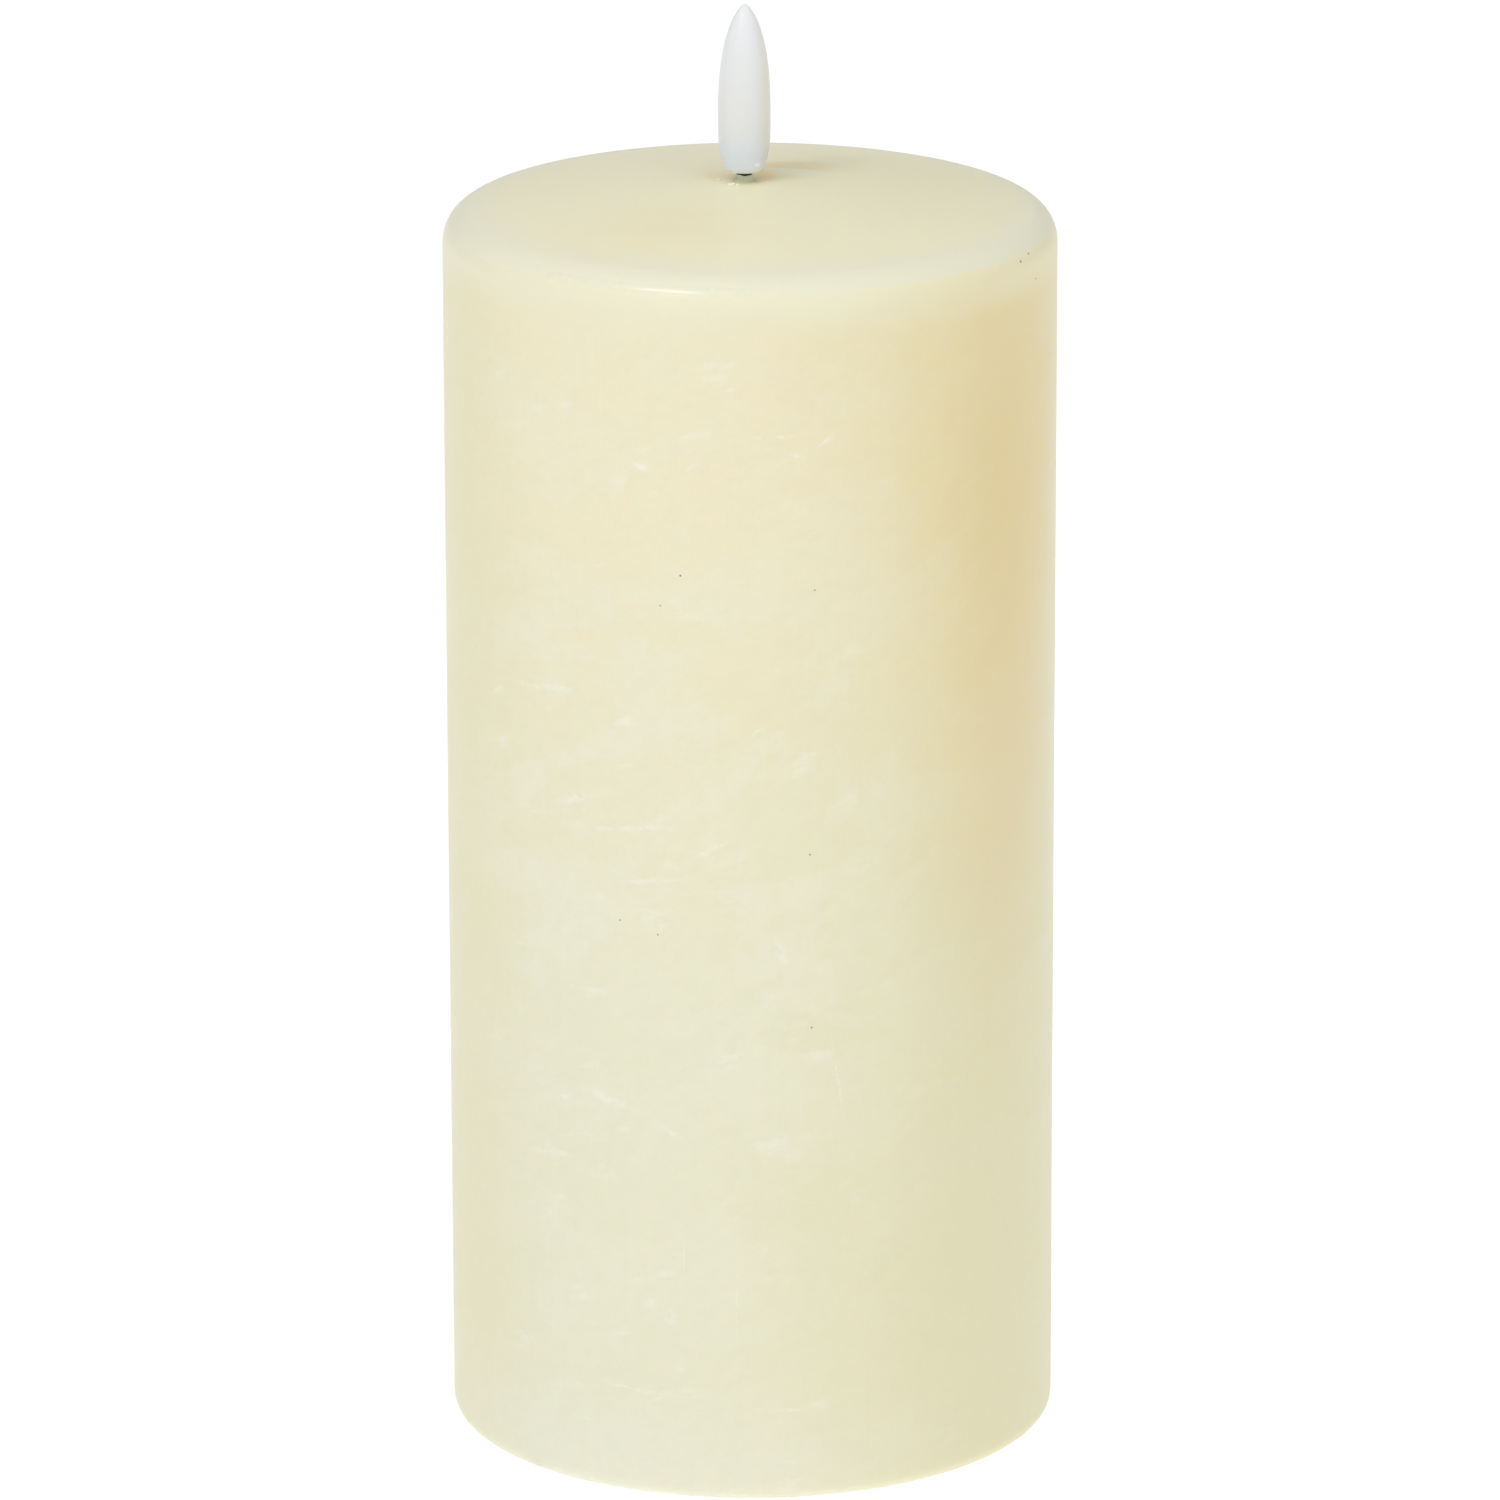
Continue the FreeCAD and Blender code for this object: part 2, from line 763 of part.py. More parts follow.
def switch_knob():
    body = new_body("switch_knob")
    slider_low = "floor_top + sheet_steel + slider_play"
    x, y = "slider_x", "slider_y"
    slider = rectangle(f"knob_rest - {x}", f"knob_rest + {x}", f"switch_y - {y}", f"switch_y + {y}")
    pad(body, slider_low, "slider_top", slider)
    x, y = "knob_x", "knob_y"
    sides = (f"switch_y - {y}", f"switch_y + {y}")
    knob = rounded(f"knob_rest - {x}", f"knob_rest + {x}", *sides, "knob_round")
    pad(body, "knob_low", f"{slider_low} + knob_round", knob)
    for ridge in (-1, 0, 1):
        middle = f"knob_rest + ({ridge}) * groove_pitch"
        groove = rectangle(f"{middle} - groove_half", f"{middle} + groove_half", *sides)
        pocket(body, "knob_low - spare", "knob_low + groove_deep", groove)


def terminal_x(index):
    return f"({index - 1.5}) * terminal_pitch"


def switch_pins():
    half = "terminal_half"
    pins = [
        box(
            f"{terminal_x(i)} - {half}",
            f"{terminal_x(i)} + {half}",
            f"switch_y - {half}",
            f"switch_y + {half}",
            "frame_top - sheet_steel",
            "terminal_top",
        )
        for i in range(4)
    ]
    group("switch_pins", pins)


def switch_screws():
    seat = "floor_top + sheet_steel"
    screws = [
        screw("ear_screw_r", "ear_screw_low", seat, "ear_head_r", f"{seat} + ear_head_up", x, "switch_y")
        for x in ("-ear_hole_x", "ear_hole_x")
    ]
    group("switch_screws", screws)


# Electronics -------------------------------------------------------------------------------


def circuit_board():
    body = new_body("circuit_board")
    pad(body, "board_low", "board_top", rounded("-board_x", "board_x", "-board_y", "board_y", "board_round"))
    for side in (-1, 1):
        hole = disc("board_hole_r", f"({side}) * board_screw_x")
        pocket(body, "board_low - spare", "board_top + spare", hole)


def board_screws():
    top = "board_top"
    screws = [
        screw("board_screw_r", "board_screw_low", top, "board_head_r", f"{top} + board_head_up", x, GROUND)
        for x in ("-board_screw_x", "board_screw_x")
    ]
    group("board_screws", screws)


def timer_chip():
    """A small-outline package with four gull legs a side, each a flat tab."""
    y, half_y, leg = "chip_y", "chip_half_y", "chip_leg_half"
    sides = (f"{y} - {half_y}", f"{y} + {half_y}")
    case = box("chip_x - chip_half_x", "chip_x + chip_half_x", *sides, "board_top", "board_top + chip_up")
    tips = (f"{y} - ({half_y} + chip_leg_out)", f"{y} + {half_y} + chip_leg_out")
    legs = []
    for i in range(4):
        x = f"chip_x + ({i - 1.5}) * chip_leg_pitch"
        legs.append(box(f"{x} - {leg}", f"{x} + {leg}", *tips, "board_top", f"board_top + {leg}"))
    keep(fuse(case, *legs), "timer_chip")


def crystal_can():
    body = new_body("crystal_can")
    revolve(
        body,
        outline(
            (GROUND, GROUND),
            ("can_r", GROUND),
            ("can_r", "can_long - can_round", "can_round", True),
            ("can_r - can_round", "can_long"),
            (GROUND, "can_long"),
        ),
    )
    place(body, "can_x", "can_y", "board_top + can_r", Rotation(Vector(0, 1, 0), 90))


def capacitor():
    body = new_body("capacitor")
    groove = "capacitor_groove"
    revolve(
        body,
        outline(
            (GROUND, GROUND),
            ("capacitor_r", GROUND),
            ("capacitor_r", f"capacitor_crimp - {groove}"),
            (f"capacitor_r - {groove}", "capacitor_crimp"),
            ("capacitor_r", f"capacitor_crimp + {groove}"),
            ("capacitor_r", "capacitor_up - capacitor_round", "capacitor_round", True),
            ("capacitor_r - capacitor_round", "capacitor_up"),
            (GROUND, "capacitor_up"),
        ),
    )
    place(body, "capacitor_x", "capacitor_y", "board_top")


def chip_resistors():
    chips = []
    for i in range(3):
        x = f"resistor_x + {i} * resistor_pitch"
        low, high = f"{x} - resistor_half_x", f"{x} + resistor_half_x"
        sides = ("resistor_y - resistor_half_y", "resistor_y + resistor_half_y")
        chips.append(box(low, high, *sides, "board_top", "board_top + resistor_up"))
    group("chip_resistors", chips)


# Leads -------------------------------------------------------------------------------------


def tangent_path(points):
    """Straight runs joined by tangent arcs of radius 0.45 of the shorter run over tan(half turn)."""
    edges = []
    radii = []
    start = points[0]
    for before, corner, after in zip(points, points[1:], points[2:]):
        back, ahead = before - corner, after - corner
        reach = 0.45 * min(back.Length, ahead.Length)
        back.normalize()
        ahead.normalize()
        half_turn = (math.pi - back.getAngle(ahead)) / 2
        radius = reach / math.tan(half_turn)
        bisector = (back + ahead).normalize()
        centre = corner + bisector * (radius / math.cos(half_turn))
        leave, join = corner + back * reach, corner + ahead * reach
        edges.append(Part.LineSegment(start, leave).toShape())
        edges.append(Part.Arc(leave, centre - bisector * radius, join).toShape())
        radii.append(round(radius, 1))
        start = join
    edges.append(Part.LineSegment(start, points[-1]).toShape())
    return Part.Wire(edges), radii


def lead(label, corners):
    """An insulated wire along corners given in sizes, from a solder joint to the circuit board."""
    points = [Vector(*(number(str(c)) for c in corner)) for corner in corners]
    path, radii = tangent_path(points)
    radius = number("lead_r")
    ring = Part.Circle(points[0], points[1] - points[0], radius)
    tube = path.makePipeShell([Part.Wire([ring.toShape()])], True, True)
    item = doc.addObject("Part::Feature", label)
    item.Shape = tube
    item.Placement = Placement()
    keep(item, label)
    share = tube.Volume / (math.pi * radius**2 * path.Length)
    print(f"{label}: length {path.Length:.1f}, radii {radii}, volume over section times length {share:.4f}")


def flame_leads():
    for label, side in (("flame_wire_red", -1), ("flame_wire_black", 1)):
        at = f"({side})"
        lead(
            label,
            [
                (f"wick_x + {at} * 0.45", "0", "leg_low"),
                (f"wick_x + {at} * 0.45", "0", "129"),
                (f"wick_x + {at} * 0.9", "2.5", "112"),
                (f"1.5 + {at} * 0.95", "-5", "86"),
                (f"-1.5 + {at} * 0.95", "-3.5", "60"),
                (f"0.2 + {at} * 1.1", "-0.5", "44"),
                (f"{at} * 1.2", "0.3", "33"),
                (f"{at} * 1.2", "0.3", "board_top"),
            ],
        )


def battery_leads():
    for label, side in (("battery_wire_red", -1), ("battery_wire_black", 1)):
        y = f"({side}) * cell_y"
        lead(
            label,
            [
                ("-bay_x + plate / 2", y, "tab_top"),
                ("-bay_x + plate / 2", y, "tab_top + 4.6"),
                ("-22.2", f"{y} + 0.4", "31"),
                ("-17.4", y, "28.4"),
                ("-17.4", y, "board_top"),
            ],
        )


def switch_leads():
    for label, index in (("switch_wire_off", 0), ("switch_wire_on", 1), ("switch_wire_timer", 2)):
        x = terminal_x(index)
        lead(
            label,
            [
                (x, "switch_y", "terminal_top"),
                (x, "switch_y", "19"),
                (f"{x} + 0.4", "switch_y - 3", "26"),
                (f"{x} + 0.4", "16.5", "30.4"),
                (x, "10.6", "28.8"),
                (x, "10.6", "board_top"),
            ],
        )


def build():
    wax_body()
    wick_collar()
    wick_sleeve()
    flame_shell()
    led_lens()
    led_leads()
    base_tray()
    core_cover()
    cover_screws()
    battery_door()
    door_hinge_pin()
    cell("battery_a", 1)
    cell("battery_b", -1)
    contact_plates()
    contact_spring("negative_spring", -1, 1)
    contact_spring("bridge_spring", 1, -1)
    switch_body()
    switch_frame()
    switch_knob()
    switch_pins()
    switch_screws()
    circuit_board()
    board_screws()
    timer_chip()
    crystal_can()
    capacitor()
    chip_resistors()
    flame_leads()
    battery_leads()
    switch_leads()
    doc.recompute()


def check_and_write():
    broken = [o.Label for o in doc.Objects if "Invalid" in o.State or "Error" in o.State]
    for item in subparts:
        if item.Shape.isNull() or not item.Shape.isValid():
            broken.append(item.Label)
    if broken:
        raise RuntimeError(f"these did not build: {broken}")
    os.makedirs("parts", exist_ok=True)
    for item in subparts:
        item.Shape.exportStep(f"parts/{item.Label}.step")
    print(f"{len(subparts)} sub-parts written")


build()
check_and_write()
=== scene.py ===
import json
import math

import bpy
import numpy as np
from mathutils import Matrix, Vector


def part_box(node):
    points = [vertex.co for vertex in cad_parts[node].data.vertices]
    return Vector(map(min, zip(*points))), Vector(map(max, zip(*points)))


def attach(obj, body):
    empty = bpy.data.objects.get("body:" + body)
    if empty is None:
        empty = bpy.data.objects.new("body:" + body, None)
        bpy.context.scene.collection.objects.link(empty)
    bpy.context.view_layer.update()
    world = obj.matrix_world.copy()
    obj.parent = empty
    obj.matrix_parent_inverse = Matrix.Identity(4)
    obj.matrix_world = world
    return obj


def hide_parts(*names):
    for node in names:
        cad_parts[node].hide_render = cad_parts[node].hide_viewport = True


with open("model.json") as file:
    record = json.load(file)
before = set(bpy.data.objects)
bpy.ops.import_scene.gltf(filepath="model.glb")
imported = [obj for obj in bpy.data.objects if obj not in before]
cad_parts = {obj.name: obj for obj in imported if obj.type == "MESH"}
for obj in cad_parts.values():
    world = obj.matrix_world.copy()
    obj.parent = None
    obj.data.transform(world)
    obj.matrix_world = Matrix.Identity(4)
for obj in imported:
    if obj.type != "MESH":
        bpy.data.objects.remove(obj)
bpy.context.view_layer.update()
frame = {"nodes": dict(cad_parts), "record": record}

# A wax pillar candle with a milky flame on a short wick, over a battery module. Lengths are in metres,
# except where a table or a function says that it takes millimetres.
MM = 0.001
WAX_LOW, WAX_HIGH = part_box("wax_body")
FLAME_LOW, FLAME_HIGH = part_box("flame_shell")
WICK_LOW, WICK_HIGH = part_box("wick_sleeve")
WAX_R = WAX_HIGH.x
WICK_X = (WICK_LOW.x + WICK_HIGH.x) / 2
WICK_R = (WICK_HIGH.x - WICK_LOW.x) / 2
SHOULDER_R = 0.11 * WAX_R
DOME_R = 4.8468 * WAX_R
DOME_CENTRE = WAX_HIGH.z - DOME_R
WALL_TOP = DOME_CENTRE + math.sqrt((DOME_R - SHOULDER_R) ** 2 - (WAX_R - SHOULDER_R) ** 2)
# the line round the shoulder where the two halves of the mould met
PARTING_RISE = math.radians(33)
PARTING_Z = WALL_TOP + SHOULDER_R * math.sin(PARTING_RISE)


def tint(red, green, blue):
    """A colour given by its eight-bit values as a screen shows it, turned into linear light."""
    shares = np.array((red, green, blue)) / 255
    linear = np.where(shares <= 0.04045, shares / 12.92, ((shares + 0.055) / 1.055) ** 2.4)
    return (*map(float, linear), 1.0)


# ---------------------------------------------------------------- finishes


class Pattern:
    """One output of a node in a tree. Arithmetic on patterns adds Math nodes to the tree."""

    def __init__(self, nodes, socket):
        self.nodes = nodes
        self.socket = socket

    def __add__(self, other):
        return self.nodes.math("ADD", self, other)

    def __radd__(self, other):
        return self.nodes.math("ADD", other, self)

    def __sub__(self, other):
        return self.nodes.math("SUBTRACT", self, other)

    def __rsub__(self, other):
        return self.nodes.math("SUBTRACT", other, self)

    def __mul__(self, other):
        return self.nodes.math("MULTIPLY", self, other)

    def __rmul__(self, other):
        return self.nodes.math("MULTIPLY", other, self)

    def __truediv__(self, other):
        return self.nodes.math("DIVIDE", self, other)

    def __abs__(self):
        return self.nodes.math("ABSOLUTE", self)


class Nodes:
    """A node tree that patterns are worked out in."""

    def __init__(self, tree):
        self.tree = tree

    def node(self, kind, settings=None, sockets=None, output=0):
        """Adds a node: its settings come first, then the values or patterns of its sockets."""
        made = self.tree.nodes.new(kind)
        for name, setting in (settings or {}).items():
            setattr(made, name, setting)
        for socket, value in (sockets or {}).items():
            self.feed(made.inputs[socket], value)
        return Pattern(self, made.outputs[output])

    def feed(self, socket, value):
        """Links a pattern to a socket, or sets a plain value on it."""
        if isinstance(value, Pattern):
            self.tree.links.new(value.socket, socket)
        else:
            socket.default_value = value

    def math(self, operation, *values):
        return self.node("ShaderNodeMath", {"operation": operation}, dict(enumerate(values)))

    def mix(self, share, first, second):
        """The first colour where share is 0 and the second where it is 1."""
        settings = {"data_type": "RGBA", "blend_type": "MIX", "clamp_factor": True}
        return self.node("ShaderNodeMix", settings, {0: share, 6: first, 7: second}, 2)

    def ramp(self, value, start, end, low=0.0, high=1.0):
        """Smoothly from low, where the value is at start or before, to high at end."""
        sockets = {"Value": value, "From Min": start, "From Max": end, "To Min": low, "To Max": high}
        return self.node("ShaderNodeMapRange", {"interpolation_type": "SMOOTHSTEP"}, sockets)

    def vector(self, x, y, z):
        return self.node("ShaderNodeCombineXYZ", None, {0: x, 1: y, 2: z})

    def length(self, x, y, z=0.0):
        return self.node("ShaderNodeVectorMath", {"operation": "LENGTH"}, {0: self.vector(x, y, z)}, 1)

    def blob(self, *distances):
        """A soft spot: 1 where every distance is 0, and about a third where they come to 1."""
        return self.math("EXPONENT", 0 - sum(distance * distance for distance in distances))


class Finish(Nodes):
    """A material: a shader with plain numbers set on it, and patterns fed into it. Patterns are looked up
    by the place on the piece, in metres, unless another place is given."""

    def __init__(self, name, **numbers):
        self.material = bpy.data.materials.new(name)
        self.material.use_nodes = True
        super().__init__(self.material.node_tree)
        self.place = self.node("ShaderNodeTexCoord", output="Object")
        self.shader = self.tree.nodes["Principled BSDF"]
        for socket, number in numbers.items():
            self.shader.inputs[socket.replace("_", " ").title().replace("Ior", "IOR")].default_value = number

    def axes(self):
        """The x, y and z of the place."""
        split = self.node("ShaderNodeSeparateXYZ", None, {0: self.place})
        return [Pattern(self, split.socket.node.outputs[axis]) for axis in "XYZ"]

    def stretched(self, scale, turn=(0, 0, 0), place=None):
        """A place scaled and turned, so that a pattern looked up there runs along one way."""
        sockets = {"Vector": place or self.place, "Scale": scale, "Rotation": turn}
        return self.node("ShaderNodeMapping", None, sockets)

    def cloud(self, size, detail=3.0, rough=0.5, place=None, distortion=0.0):
        """Noise whose patches are about as wide as size, between 0 and 1."""
        sockets = {"Vector": place or self.place, "Scale": 1 / size, "Detail": detail, "Roughness": rough}
        sockets["Distortion"] = distortion
        return self.node("ShaderNodeTexNoise", None, sockets)

    def cells(self, size):
        """The distance to the nearest of many scattered points, in widths of a cell."""
        return self.node("ShaderNodeTexVoronoi", None, {"Vector": self.place, "Scale": 1 / size}, "Distance")

    def paint(self, socket, value):
        self.feed(self.shader.inputs[socket], value)

    def relief(self, height, depth):
        """Bumps the surface by a pattern from 0 to 1 whose highest parts stand depth above its lowest."""
        sockets = {"Height": height, "Distance": depth, "Strength": 1.0}
        self.paint("Normal", self.node("ShaderNodeBump", None, sockets))


SPECKS = (
    # where dark grains sit in the wax: round the wall in millimetres from the front, height, size
    (-8.5, 117.6, 0.13),
    (7.7, 115.8, 0.1),
    (-11.0, 113.7, 0.1),
    (7.1, 82.8, 0.11),
    (-16.4, 73.7, 0.1),
    (-11.5, 72.4, 0.1),
    (7.3, 60.9, 0.12),
    (43.7, 148.7, 0.12),
    (42.5, 152.0, 0.14),
    (39.9, 151.6, 0.17),
)
STAINS = (
    # where heat has browned the wax near the wick: to the right and behind it, half widths, depth, colour
    (2.6, 3.2, 1.3, 2.8, 0.75, (255, 226, 156)),
    (-2.8, 2.8, 2.2, 2.2, 0.5, (250, 228, 180)),
    (0.4, -0.4, 1.9, 1.9, 0.4, (244, 226, 176)),
)
STROKES = (
    # frosted strokes: middle round the wall and up in millimetres, length, width, slope up to the right
    (2.4, 134.9, 8.5, 0.35, 0.06),
    (9.0, 134.2, 2.2, 0.45, 0.9),
    (5.2, 132.6, 2.6, 0.35, -0.35),
    (-7.0, 131.2, 1.6, 0.5, 0.5),
    (-13.5, 130.6, 2.8, 0.9, -0.3),
    (-29.0, 101.2, 8.0, 0.4, 0.08),
    (-36.0, 99.2, 1.6, 0.8, 0.2),
    (0.5, 98.2, 2.2, 0.5, 0.7),
    (-15.0, 85.4, 9.0, 0.6, 0.12),
    (-5.0, 83.6, 5.0, 0.45, 0.5),
    (-12.0, 79.2, 8.0, 0.5, 0.16),
    (-22.0, 88.4, 6.0, 0.9, 0.3),
    (3.6, 70.5, 1.0, 3.2, 0.3),
    (2.2, 65.2, 1.6, 1.8, -0.8),
    (-18.0, 50.6, 6.0, 0.9, -0.25),
    (-9.5, 47.2, 3.4, 0.6, -0.6),
    (-24.5, 50.2, 1.2, 1.2, 0.0),
    (-12.8, 25.4, 1.2, 1.3, 0.4),
    (-10.2, 23.6, 1.4, 1.8, -0.4),
    (-16.4, 20.8, 1.8, 0.5, 0.1),
    (-14.6, 13.9, 9.0, 0.3, -0.1),
    (4.2, 12.0, 7.0, 0.35, -0.02),
    (-8.4, 31.0, 0.18, 5.5, 0.0),
    (-1.9, 26.0, 0.2, 8.0, 0.0),
    (10.6, 54.0, 0.25, 7.0, 0.15),
)


class CastWax(Finish):
    """Wax whose colour is laid on in layers, from the widest to the finest. A place on the wall is given by
    arc, the way round it from the front, and by z, and one on the top by x and y."""

    def __init__(self, name, **numbers):
        super().__init__(name, **numbers)
        self.x, self.y, self.z = self.axes()
        self.across = self.length(self.x, self.y)
        self.arc = self.math("ARCTAN2", self.x, 0 - self.y) * WAX_R
        self.behind = self.ramp(abs(self.arc), 66 * MM, 104 * MM)
        self.front = 1 - self.behind
        self.wall = self.ramp(self.z, WALL_TOP - 6 * MM, WALL_TOP + 2 * MM, 1.0, 0.0)
        self.broad = self.cloud(46 * MM, 4.0, 0.55)
        self.fine = self.cloud(9 * MM, 6.0, 0.65)
        self.grit = self.cloud(1.3 * MM, 4.0, 0.6)
        self.slanted = self.vector(self.x, self.y, self.z - 0.25 * self.x)
        self.upright = self.cloud(0.7 * MM, 3.0, 0.6, self.stretched((1.0, 1.0, 0.03)))

    def cover(self, share, red, green, blue):
        """Lays another colour over a share of the colour so far."""
        self.colour = self.mix(share, self.colour, tint(red, green, blue))

    def ivory(self):
        """Warm above and cooler below, and yellower on the right, with boundaries that wander. Painted shade
        darkens the left of the front; painted light makes the foot in front paler and greyer, and the top
        paler.
        """
        arc, z = self.arc, self.z
        drift = 44 * MM * (self.broad - 0.5)
        lower = self.ramp(z + drift, 128 * MM, 52 * MM)
        left = self.mix(lower, tint(238, 231, 201), tint(233, 232, 207))
        right = self.mix(lower, tint(235, 226, 186), tint(231, 226, 189))
        self.colour = self.mix(self.ramp(arc + drift, -14 * MM, 34 * MM) * self.front, left, right)
        # painted shade: the left side of the front, from about 40 to 70 degrees round, darker and yellower
        self.cover(self.ramp(arc, -26 * MM, -46 * MM) * self.front * 0.6, 230, 225, 184)
        # painted light: a paler, greyer stretch low on the front, standing in for light thrown up from the
        # floor
        foot = self.ramp(z + 0.2 * drift, 17 * MM, 4 * MM) * self.ramp(abs(arc + 13 * MM), 52 * MM, 14 * MM)
        self.cover(foot * 0.5, 234, 234, 217)
        # painted light: the domed top painted paler than the wall, lifting it as more light would
        self.cover(self.ramp(z, WALL_TOP - 1 * MM, WALL_TOP + 5 * MM), 244, 239, 207)

    def frost(self):
        """Veils with crisp, branching edges and patches dragged by the mould, fainter on the right."""
        arc = self.arc
        veil = self.cloud(15 * MM, 10.0, 0.68, self.stretched((0.55, 0.55, 1.0), place=self.slanted), 0.5)
        leftward = self.ramp(arc, 30 * MM, -6 * MM, 0.3, 1.0) * self.ramp(arc, -52 * MM, -26 * MM, 0.1, 1.0)
        leftward = self.math("MAXIMUM", leftward, 0.85 * self.behind)
        midway = 0.4 + 0.6 * self.blob((self.z - 84 * MM) / (36 * MM))
        self.cover(self.ramp(veil, 0.48, 0.55) * leftward * midway * 0.4 * self.wall, 237, 237, 219)
        drag = self.cloud(3.2 * MM, 8.0, 0.7, self.stretched((0.3, 0.3, 1.0), place=self.slanted))
        self.dragged = self.ramp(drag, 0.55, 0.64) * self.ramp(self.fine, 0.47, 0.6)
        self.cover(self.dragged * leftward * 0.5 * self.wall, 242, 242, 228)

    def flush(self):
        """A tan flush on the right, streaked down to the left, with a fainter tail, and one on the back."""
        arc, z, wander = self.arc, self.z, self.broad - 0.5
        streaked = self.stretched((0.32, 0.32, 1.0), place=self.vector(self.x, self.y, z - 0.75 * arc))
        comb = self.cloud(2.6 * MM, 6.0, 0.65, streaked) - 0.5
        spread = self.ramp(z, 104 * MM, 142 * MM, 12 * MM, 17 * MM)
        sideways = (arc - 38 * MM - 12 * MM * (self.fine - 0.5) - 12 * MM * comb) / spread
        tan = self.blob(sideways, (z - 123 * MM) / (34 * MM)) * self.ramp(arc, 58 * MM, 48 * MM)
        self.cover(tan * self.ramp(z, WALL_TOP - 0.5 * MM, WALL_TOP - 4 * MM) * 0.88, 231, 211, 155)
        tail = self.blob((arc - 36 * MM) / (11 * MM), (z - 82 * MM) / (26 * MM))
        self.cover(tail * 0.3, 230, 208, 160)
        sideways = (abs(arc) - 100 * MM + 30 * MM * wander + 9 * MM * comb) / (17 * MM)
        upward = (z - 66 * MM + 40 * MM * wander) / (34 * MM)
        self.cover(self.blob(sideways, upward) * self.wall * 0.5, 232, 212, 162)

    def mottle(self):
        """Small darker patches all round."""
        patch = self.cloud(1.7 * MM, 8.0, 0.7, self.stretched((0.8, 0.8, 1.0), place=self.slanted))
        self.cover(self.ramp(patch, 0.44, 0.6) * self.wall * 0.12, 224, 218, 184)

    def strokes(self):
        """The frosted strokes, one by one, with torn edges."""
        rough = 1.1 * MM * (self.grit - 0.5) + 0.9 * MM * (self.cloud(4 * MM, 3.0) - 0.5)
        torn = self.ramp(self.cloud(0.9 * MM, 4.0, 0.7), 0.38, 0.6)
        strokes = 0.0
        for middle, height, length, width, slope in STROKES:
            tilt = math.atan(slope)
            beside, above = self.arc - middle * MM, self.z - height * MM + rough
            along = (beside * math.cos(tilt) + above * math.sin(tilt)) / (length / 2 * MM)
            over = (above * math.cos(tilt) - beside * math.sin(tilt)) / (width / 2 * MM)
            strokes = strokes + self.blob(along, over)
        self.cover(self.math("MINIMUM", strokes, 1.0) * torn * 0.6, 246, 246, 236)

    def streaks(self):
        """Fine upright streaks left by the mould."""
        self.cover(self.ramp(self.upright, 0.4, 0.75) * self.wall * 0.045, 222, 212, 172)

    def rim(self):
        """Painted reflection and shade on the shoulder: a bluer, greyer rim that ends at the parting line
        stands in for the overhead lamp's sheen, its outermost ring is painted darker as shade, and a paler
        stretch of wall below it in front is painted reflection too.
        """
        above = self.ramp(self.z, PARTING_Z - 0.15 * MM, PARTING_Z + 0.1 * MM)
        outward = self.across + 7 * MM * (self.broad - 0.5) + 1.5 * MM * (self.fine - 0.5)
        # painted reflection: the bluer, greyer band round the rim
        self.cover(self.ramp(outward, 29.5 * MM, 34.5 * MM) * above * 0.6, 237, 237, 216)
        # painted shade: the outermost ring of the rim darker, flattening the lit shoulder
        self.cover(self.ramp(self.across, 34.2 * MM, 35.6 * MM) * above * 0.4, 230, 231, 211)
        # painted reflection: a paler stretch of wall just under the shoulder, in front only
        below = self.ramp(self.z + 5 * MM * (self.fine - 0.5), WALL_TOP - 4 * MM, WALL_TOP + 1 * MM)
        in_front = self.ramp(abs(self.arc + 20 * MM), 50 * MM, 28 * MM, 0.1, 0.5)
        self.cover(below * (1 - above) * in_front, 234, 235, 214)

    def scuffs(self):
        """Dull patches along the edge it stands on."""
        scuff = self.ramp(self.z, 0.7 * MM, 0.1 * MM) * self.ramp(self.fine, 0.42, 0.62)
        self.cover(scuff * 0.6, 206, 196, 164)

    def scorch_and_painted_halo(self):
        """On the top, a pale ring round the wick, painted light that lifts the flame's shadow there, brown
        stains round the wick, a tan smear behind it to the right, a browner patch in front and a greener one
        on the right."""
        beside, y, top = self.x - WICK_X, self.y, 1 - self.wall
        # painted light: a pale halo round the wick where the flame casts its shadow
        reach = self.length(beside, y) + 2.4 * MM * (self.cloud(3.4 * MM, 4.0) - 0.5)
        self.cover(self.ramp(reach, 6.5 * MM, 2.2 * MM) * top * 0.8, 252, 245, 208)
        for middle_x, middle_y, half_x, half_y, share, shade in STAINS:
            along = (beside - middle_x * MM + 0.6 * MM * (self.grit - 0.5)) / (half_x * MM)
            away = (y - middle_y * MM) / (half_y * MM)
            self.cover(self.ramp(along * along + away * away, 1.6, 0.3) * top * share, *shade)
        swirl = self.cloud(5 * MM, 6.0, 0.62, self.stretched((0.35, 1.0, 1.0), (0, 0, -0.35)))
        smear = self.blob((beside - 5.5 * MM) / (6 * MM), (y - 8 * MM) / (6 * MM))
        self.cover(smear * self.ramp(swirl, 0.4, 0.6) * top * 0.65, 236, 208, 152)
        browner = self.blob((self.x + 9 * MM) / (11 * MM), (y + 18 * MM) / (8 * MM))
        self.cover(browner * top * self.ramp(swirl, 0.3, 0.6, 0.5, 1.0) * 0.4, 240, 226, 180)
        greener = self.blob((self.x - 17 * MM) / (15 * MM), (y - 6 * MM) / (20 * MM))
        self.cover(greener * top * 0.4, 234, 229, 190)

    def grains(self):
        """Dark grains: a few large ones, and smaller ones scattered over the top."""
        grains = 0.0
        for middle, height, size in SPECKS:
            away = self.length(self.arc - middle * MM, self.z - height * MM)
            grains = grains + self.ramp(away, 1.25 * size * MM, 0.6 * size * MM)
        scatter = self.ramp(self.cells(7 * MM), 0.02, 0.012)
        scatter = scatter * self.ramp(self.z, WALL_TOP + 3 * MM, WALL_TOP + 4 * MM)
        self.cover(self.math("MINIMUM", grains + 0.5 * scatter, 1.0) * 0.85, 112, 84, 48)

